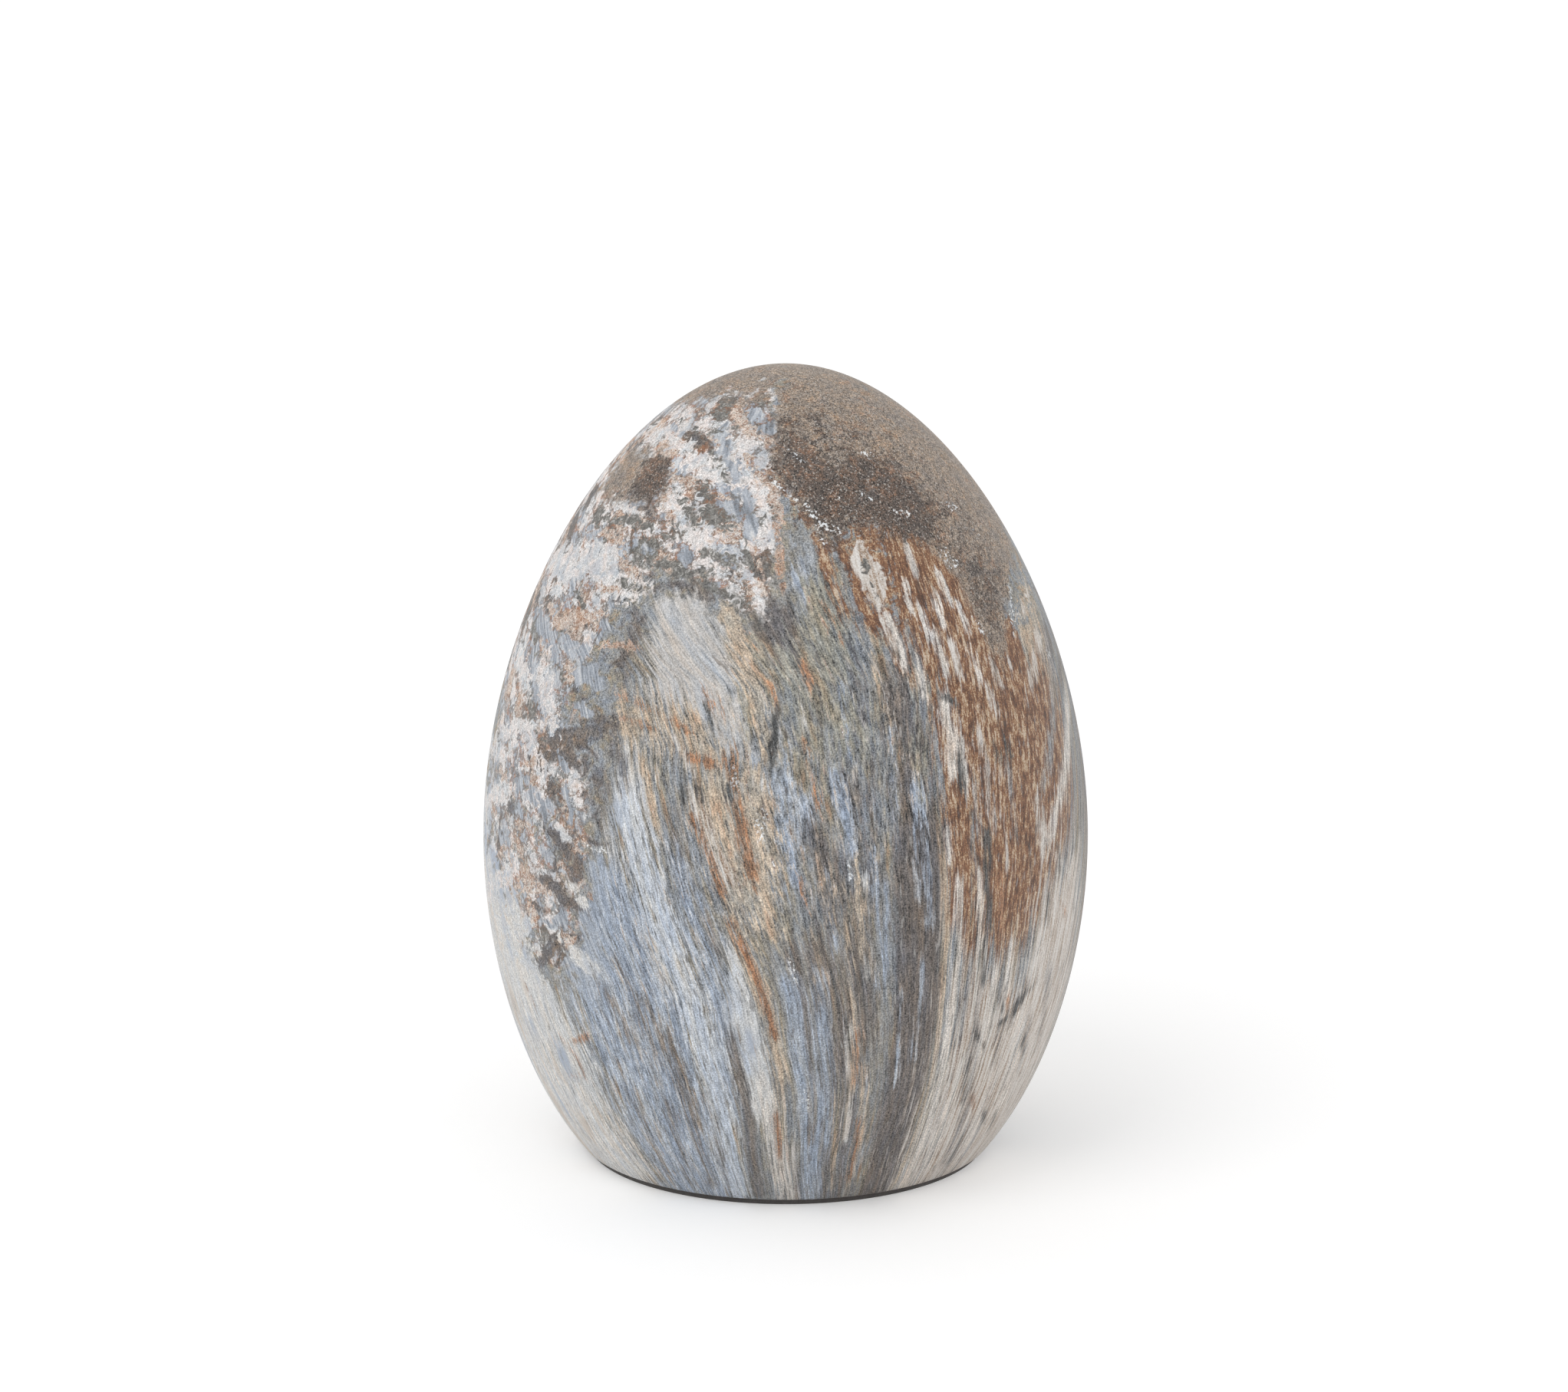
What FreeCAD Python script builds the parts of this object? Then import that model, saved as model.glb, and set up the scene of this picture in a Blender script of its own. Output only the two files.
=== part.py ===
import FreeCAD, Part

import math
import os

# Hollow ceramic egg that stands on its own flat-cut base. All lengths are in millimetres.
# The origin lies in the middle of the face that the egg rests on, and +Z points to its crown.

# Egg, outside: the heights are measured from the flat base of the shell
egg_width = 100.0
egg_height = 131.3
widest_height = 51.8
base_width = 68.2
base_edge_radius = 1.0
base_angle = 50.3  # degrees from the floor to the side, where the side leaves the base

# Handles of the outline's two curves, as shares of the height or the radius that each follows
belly_low_share = 0.282
belly_high_share = 0.400
crown_low_share = 0.475
crown_high_share = 0.532

# Shell
wall_thickness = 5.0
floor_thickness = 6.0

# Drain hole through the floor, with a recess for the stopper's flange
drain_hole_width = 16.0
recess_width = 22.4
recess_depth = 2.0

# Soft stopper
flange_clearance = 0.2
neck_clearance = 0.15
lip_overlap = 0.8
lip_clearance = 0.1
lip_height = 1.2
lip_taper_height = 1.8
tip_inset = 1.0
stopper_wall = 1.6
stopper_floor = 2.6

# Base pad
pad_thickness = 1.0
pad_inset = 1.0

# Places that follow from these sizes
base_z = pad_thickness
floor_top_z = base_z + floor_thickness
crown_z = base_z + egg_height
widest_z = base_z + widest_height
egg_radius = egg_width / 2
base_radius = base_width / 2
side_angle = math.radians(base_angle)
origin = FreeCAD.Vector(0, 0, 0)
up = FreeCAD.Vector(0, 0, 1)
full_turn = 360


def at(radius, height):
    """A point of an outline, in the upright plane through the axis."""
    return FreeCAD.Vector(radius, 0, height)


def turned(edges):
    """The solid that a closed outline makes when it is turned about the axis."""
    return Part.Face(Part.Wire(edges)).revolve(origin, up, full_turn)


def egg_solid(low_radius, low_z, widest_radius, top_z):
    """An egg cut flat at low_z, with its widest level at widest_z and a round crown."""
    belly_height = widest_z - low_z
    crown_height = top_z - widest_z
    belly = Part.BezierCurve()
    belly.setPoles([
        at(low_radius, low_z),
        at(low_radius + belly_low_share * belly_height * math.cos(side_angle),
           low_z + belly_low_share * belly_height * math.sin(side_angle)),
        at(widest_radius, widest_z - belly_high_share * belly_height),
        at(widest_radius, widest_z),
    ])
    crown = Part.BezierCurve()
    crown.setPoles([
        at(widest_radius, widest_z),
        at(widest_radius, widest_z + crown_low_share * crown_height),
        at(crown_high_share * widest_radius, top_z),
        at(0, top_z),
    ])
    floor_line = Part.makeLine(at(0, low_z), at(low_radius, low_z))
    axis_line = Part.makeLine(at(0, top_z), at(0, low_z))
    return turned([floor_line, belly.toShape(), crown.toShape(), axis_line])


def with_rounded_base_edge(egg):
    """The egg with the sharp edge round its flat base rounded over."""
    def is_base_edge(edge):
        box = edge.BoundBox
        return box.ZMax - base_z < base_edge_radius and box.XMax > base_radius - base_edge_radius

    return egg.makeFillet(base_edge_radius, [edge for edge in egg.Edges if is_base_edge(edge)])


def disc(width, thickness, low_z):
    return Part.makeCylinder(width / 2, thickness, at(0, low_z))


def egg_shell():
    """The cast shell: an even wall, a thicker floor, and the drain hole with its recess."""
    outside = with_rounded_base_edge(egg_solid(base_radius, base_z, egg_radius, crown_z))
    side_at_floor = base_radius + floor_thickness / math.tan(side_angle)
    cavity_radius = side_at_floor - wall_thickness / math.sin(side_angle)
    cavity = egg_solid(
        cavity_radius, floor_top_z, egg_radius - wall_thickness, crown_z - wall_thickness
    )
    drain_hole = disc(drain_hole_width, floor_thickness, base_z)
    recess = disc(recess_width, recess_depth, base_z)
    return outside.cut([cavity, drain_hole, recess])


def drain_stopper():
    """The soft stopper: a flange in the recess, a neck through the hole and a lip inside."""
    flange_radius = recess_width / 2 - flange_clearance
    neck_radius = drain_hole_width / 2 - neck_clearance
    lip_radius = drain_hole_width / 2 + lip_overlap
    tip_radius = lip_radius - tip_inset
    core_radius = neck_radius - stopper_wall
    flange_top_z = base_z + recess_depth
    lip_low_z = floor_top_z + lip_clearance
    lip_high_z = lip_low_z + lip_height
    tip_z = lip_high_z + lip_taper_height
    corners = [
        at(0, base_z),
        at(flange_radius, base_z),
        at(flange_radius, flange_top_z),
        at(neck_radius, flange_top_z),
        at(neck_radius, lip_low_z),
        at(lip_radius, lip_low_z),
        at(lip_radius, lip_high_z),
        at(tip_radius, tip_z),
        at(core_radius, tip_z),
        at(core_radius, base_z + stopper_floor),
        at(0, base_z + stopper_floor),
    ]
    following = corners[1:] + corners[:1]
    return turned([Part.makeLine(start, end) for start, end in zip(corners, following)])


def base_pad():
    """The thin soft disc under the base, a little smaller than the base itself."""
    return disc(base_width - 2 * pad_inset, pad_thickness, 0)


os.makedirs("parts", exist_ok=True)
for name, shape in (
    ("egg_shell", egg_shell()),
    ("drain_stopper", drain_stopper()),
    ("base_pad", base_pad()),
):
    shape.exportStep("parts/" + name + ".step")
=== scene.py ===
import math

import bpy
import numpy as np
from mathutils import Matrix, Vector, noise


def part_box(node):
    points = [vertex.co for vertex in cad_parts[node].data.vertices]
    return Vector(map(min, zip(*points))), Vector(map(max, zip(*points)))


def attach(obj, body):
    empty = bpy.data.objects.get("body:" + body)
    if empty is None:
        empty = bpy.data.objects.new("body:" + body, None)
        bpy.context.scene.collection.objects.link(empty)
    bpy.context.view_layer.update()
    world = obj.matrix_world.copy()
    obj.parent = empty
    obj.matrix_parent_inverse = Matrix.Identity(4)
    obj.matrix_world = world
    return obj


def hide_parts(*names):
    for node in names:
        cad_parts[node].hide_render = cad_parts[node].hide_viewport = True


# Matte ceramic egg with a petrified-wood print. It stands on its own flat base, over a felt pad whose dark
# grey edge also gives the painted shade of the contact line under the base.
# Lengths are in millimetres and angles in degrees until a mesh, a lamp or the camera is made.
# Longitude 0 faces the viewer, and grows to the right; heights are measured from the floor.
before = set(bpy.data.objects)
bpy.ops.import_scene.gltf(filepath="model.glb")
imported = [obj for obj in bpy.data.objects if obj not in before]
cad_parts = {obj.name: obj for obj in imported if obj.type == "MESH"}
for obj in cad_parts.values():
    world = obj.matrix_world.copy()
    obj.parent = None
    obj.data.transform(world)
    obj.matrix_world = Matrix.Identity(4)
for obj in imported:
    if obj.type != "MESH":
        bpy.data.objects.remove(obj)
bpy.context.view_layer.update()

# The layout's noise starts from a fixed seed, so that each run gives the same print
noise_seed = 21
noise.seed_set(noise_seed)

mm = 0.001
per_metre = 1000.0

# Sizes of the egg, the same as those of the part that it replaces
shell_low, shell_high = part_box("egg_shell")
egg_width = min(shell_high.x - shell_low.x, shell_high.y - shell_low.y) / mm
base_level = shell_low.z / mm
crown_level = shell_high.z / mm
widest_height = 51.8
widest_level = base_level + widest_height
base_width = 68.2
base_edge_radius = 1.0
base_angle = 50.3
belly_low_share = 0.282
belly_high_share = 0.400
crown_low_share = 0.475
crown_high_share = 0.532
wall_thickness = 5.0
floor_thickness = 6.0
drain_hole_width = 16.0
recess_width = 22.4
recess_depth = 2.0

# Rows of faces on each stretch of the shell's section, from the crown round to the cavity's top
columns = 384
section_rows = {
    "crown": 118,
    "belly": 78,
    "base edge": 5,
    "base ring": 3,
    "recess side": 1,
    "recess top": 1,
    "hole side": 1,
    "floor": 2,
    "cavity belly": 14,
    "cavity crown": 18,
}
decorated_stretches = ("crown", "belly", "base edge")
curve_steps = 400
weld_distance = 0.001
sharp_angle = 35


# Nodes

def node(tree, kind, inputs=None, **settings):
    """A new node. An input is a plain value or the output of another node."""
    made = tree.nodes.new(kind)
    for name, value in settings.items():
        setattr(made, name, value)
    for socket, value in (inputs or {}).items():
        if isinstance(value, bpy.types.NodeSocket):
            tree.links.new(value, made.inputs[socket])
        else:
            made.inputs[socket].default_value = value
    return made


def emptied(owner):
    """The node tree of a material or a world, with nothing in it."""
    owner.use_nodes = True
    owner.node_tree.nodes.clear()
    return owner.node_tree


def calc(tree, operation, *terms):
    """The result of one sum on numbers."""
    return node(tree, "ShaderNodeMath", dict(enumerate(terms)), operation=operation).outputs[0]


def point(tree, across, up):
    """A point of the section: its distance from the axis and its height."""
    return node(tree, "ShaderNodeCombineXYZ", {"X": across, "Z": up}).outputs[0]


# Egg shell

def section_curves(tree, size):
    """The curves of the shell's section, in order, each with the part of it that is used."""
    def plus(a, b):
        return calc(tree, "ADD", a, b)

    def minus(a, b):
        return calc(tree, "SUBTRACT", a, b)

    def times(a, b):
        return calc(tree, "MULTIPLY", a, b)

    def curve(start, start_handle, end_handle, end):
        places = {"Start": start, "Start Handle": start_handle, "End Handle": end_handle, "End": end}
        inputs = {"Resolution": curve_steps, **places}
        return node(tree, "GeometryNodeCurvePrimitiveBezierSegment", inputs, mode="POSITION").outputs[0]

    def line(start, end):
        return node(tree, "GeometryNodeCurvePrimitiveLine", {"Start": start, "End": end}).outputs[0]

    def crown_curve(radius, top):
        height = minus(top, size["Widest level"])
        return curve(
            point(tree, 0.0, top),
            point(tree, times(crown_high_share, radius), top),
            point(tree, radius, plus(size["Widest level"], times(crown_low_share, height))),
            point(tree, radius, size["Widest level"]),
        )

    def belly_curve(radius, low_radius, low):
        height = minus(size["Widest level"], low)
        reach = times(belly_low_share, height)
        return curve(
            point(tree, radius, size["Widest level"]),
            point(tree, radius, minus(size["Widest level"], times(belly_high_share, height))),
            point(tree, plus(low_radius, times(reach, slope_out)), plus(low, times(reach, slope_up))),
            point(tree, low_radius, low),
        )

    slope_out = calc(tree, "COSINE", size["Base angle"])
    slope_up = calc(tree, "SINE", size["Base angle"])
    radius = times(size["Width"], 0.5)
    base_radius = times(size["Base width"], 0.5)
    base = size["Base level"]
    edge = size["Edge radius"]

    # The rounded base edge is tangent to the floor and to the side
    setback = times(edge, calc(tree, "TANGENT", times(size["Base angle"], 0.5)))
    handle = times(times(edge, 4 / 3), calc(tree, "TANGENT", times(size["Base angle"], 0.25)))
    side_radius = plus(base_radius, times(setback, slope_out))
    side_level = plus(base, times(setback, slope_up))
    edge_curve = curve(
        point(tree, side_radius, side_level),
        point(tree, minus(side_radius, times(handle, slope_out)), minus(side_level, times(handle, slope_up))),
        point(tree, plus(minus(base_radius, setback), handle), base),
        point(tree, minus(base_radius, setback), base),
    )
    belly = belly_curve(radius, base_radius, base)
    belly_length = node(tree, "GeometryNodeCurveLength", {0: belly}).outputs[0]
    belly_part = minus(1.0, calc(tree, "DIVIDE", setback, belly_length))

    # The cavity follows the outside at one wall's distance, down to the top of the floor
    floor_level = plus(base, size["Floor"])
    recess_level = plus(base, size["Recess depth"])
    recess_radius = times(size["Recess width"], 0.5)
    hole_radius = times(size["Hole width"], 0.5)
    floor_setback = calc(tree, "DIVIDE", size["Floor"], calc(tree, "TANGENT", size["Base angle"]))
    side_at_floor = plus(base_radius, floor_setback)
    cavity_low_radius = minus(side_at_floor, calc(tree, "DIVIDE", size["Wall"], slope_up))
    cavity_radius = minus(radius, size["Wall"])
    cavity_top = minus(size["Crown level"], size["Wall"])
    recess_corner = point(tree, recess_radius, base)
    recess_top_corner = point(tree, recess_radius, recess_level)
    hole_corner = point(tree, hole_radius, recess_level)
    hole_top_corner = point(tree, hole_radius, floor_level)
    floor_corner = point(tree, cavity_low_radius, floor_level)
    return {
        "crown": (crown_curve(radius, size["Crown level"]), 0.0, 1.0),
        "belly": (belly, 0.0, belly_part),
        "base edge": (edge_curve, 0.0, 1.0),
        "base ring": (line(point(tree, minus(base_radius, setback), base), recess_corner), 0.0, 1.0),
        "recess side": (line(recess_corner, recess_top_corner), 0.0, 1.0),
        "recess top": (line(recess_top_corner, hole_corner), 0.0, 1.0),
        "hole side": (line(hole_corner, hole_top_corner), 0.0, 1.0),
        "floor": (line(hole_top_corner, floor_corner), 0.0, 1.0),
        "cavity belly": (belly_curve(cavity_radius, cavity_low_radius, floor_level), 1.0, 0.0),
        "cavity crown": (crown_curve(cavity_radius, cavity_top), 1.0, 0.0),
    }


def shell_tree():
    """Geometry Nodes that turn the shell's section about the axis."""
    tree = bpy.data.node_groups.new("turned egg shell", "GeometryNodeTree")
    lengths = (
        "Width", "Base level", "Widest level", "Crown level", "Base width", "Base angle", "Edge radius",
        "Wall", "Floor", "Hole width", "Recess width", "Recess depth",
    )
    for name in lengths:
        tree.interface.new_socket(name, in_out="INPUT", socket_type="NodeSocketFloat")
    tree.interface.new_socket("Columns", in_out="INPUT", socket_type="NodeSocketInt")
    tree.interface.new_socket("Finish", in_out="INPUT", socket_type="NodeSocketMaterial")
    tree.interface.new_socket("Geometry", in_out="OUTPUT", socket_type="NodeSocketGeometry")
    size = node(tree, "NodeGroupInput").outputs

    # A flat grid, one unit wide and high: across it runs the turn, and down it the section
    total_rows = sum(section_rows.values())
    grid = node(tree, "GeometryNodeMeshGrid", {
        "Size X": 1.0,
        "Size Y": 1.0,
        "Vertices X": calc(tree, "ADD", size["Columns"], 1),
        "Vertices Y": total_rows + 1,
    })
    grid_place = node(tree, "GeometryNodeInputPosition").outputs[0]
    flat = node(tree, "ShaderNodeSeparateXYZ", {0: grid_place}).outputs
    angle = calc(tree, "MULTIPLY", flat["X"], math.tau)
    row = calc(tree, "ROUND", calc(tree, "MULTIPLY", calc(tree, "SUBTRACT", 0.5, flat["Y"]), total_rows))

    place = None
    first_row = 0
    for stretch, (curve, start, end) in section_curves(tree, size).items():
        share = calc(tree, "DIVIDE", calc(tree, "SUBTRACT", row, first_row), section_rows[stretch])
        factor = node(tree, "ShaderNodeMapRange", {0: share, 3: start, 4: end}, clamp=True).outputs[0]
        sample = node(tree, "GeometryNodeSampleCurve", {"Curves": curve, "Factor": factor}, mode="FACTOR")
        here = sample.outputs["Position"]
        if place is not None:
            reached = calc(tree, "GREATER_THAN", row, first_row - 0.5)
            choice = {"Switch": reached, "False": place, "True": here}
            here = node(tree, "GeometryNodeSwitch", choice, input_type="VECTOR").outputs[0]
        place = here
        first_row += section_rows[stretch]

    section = node(tree, "ShaderNodeSeparateXYZ", {0: place}).outputs
    turned = node(tree, "ShaderNodeCombineXYZ", {
        "X": calc(tree, "MULTIPLY", section["X"], calc(tree, "SINE", angle)),
        "Y": calc(tree, "MULTIPLY", section["X"], calc(tree, "MULTIPLY", calc(tree, "COSINE", angle), -1.0)),
        "Z": section["Z"],
    }).outputs[0]
    decorated_rows = sum(section_rows[stretch] for stretch in decorated_stretches)
    decorated = calc(tree, "LESS_THAN", row, decorated_rows - 0.5)
    marked = node(tree, "GeometryNodeStoreNamedAttribute", {
        "Geometry": grid.outputs["Mesh"], "Name": "decorated", "Value": decorated,
    }, data_type="FLOAT", domain="POINT").outputs[0]
    shaped = node(tree, "GeometryNodeSetPosition", {"Geometry": marked, "Position": turned}).outputs[0]
    closed = node(tree, "GeometryNodeMergeByDistance", {
        "Geometry": shaped, "Distance": weld_distance * mm,
    }).outputs[0]
    smooth = node(tree, "GeometryNodeSetShadeSmooth", {"Geometry": closed}).outputs[0]
    real = node(tree, "GeometryNodeRealizeInstances", {"Geometry": smooth}).outputs[0]
    finished = node(tree, "GeometryNodeSetMaterial", {
        "Geometry": real, "Material": size["Finish"],
    }).outputs[0]
    node(tree, "NodeGroupOutput", {"Geometry": finished})
    return tree


def plain_mesh(name, tree, sizes):
    """The mesh that the tree makes from these sizes."""
    carrier = bpy.data.objects.new(name + "_maker", bpy.data.meshes.new(name + "_maker"))
    bpy.context.scene.collection.objects.link(carrier)
    modifier = carrier.modifiers.new("shape", "NODES")
    modifier.node_group = tree
    for item in tree.interface.items_tree:
        if item.in_out == "INPUT":
            modifier[item.identifier] = sizes[item.name]
    graph = bpy.context.evaluated_depsgraph_get()
    mesh = bpy.data.meshes.new_from_object(carrier.evaluated_get(graph))
    mesh.name = name
    carrier.modifiers.remove(modifier)
    bpy.data.objects.remove(carrier)
    return mesh


def egg_shell(finish):
    mesh = plain_mesh("printed_egg_shell", shell_tree(), {
        "Width": egg_width * mm,
        "Base level": base_level * mm,
        "Widest level": widest_level * mm,
        "Crown level": crown_level * mm,
        "Base width": base_width * mm,
        "Base angle": math.radians(base_angle),
        "Edge radius": base_edge_radius * mm,
        "Wall": wall_thickness * mm,
        "Floor": floor_thickness * mm,
        "Hole width": drain_hole_width * mm,
        "Recess width": recess_width * mm,
        "Recess depth": recess_depth * mm,
        "Columns": columns,
        "Finish": finish,
    })
    mesh.set_sharp_from_angle(angle=math.radians(sharp_angle))
    shell = bpy.data.objects.new("printed_egg_shell", mesh)
    bpy.context.scene.collection.objects.link(shell)
    return shell


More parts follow.
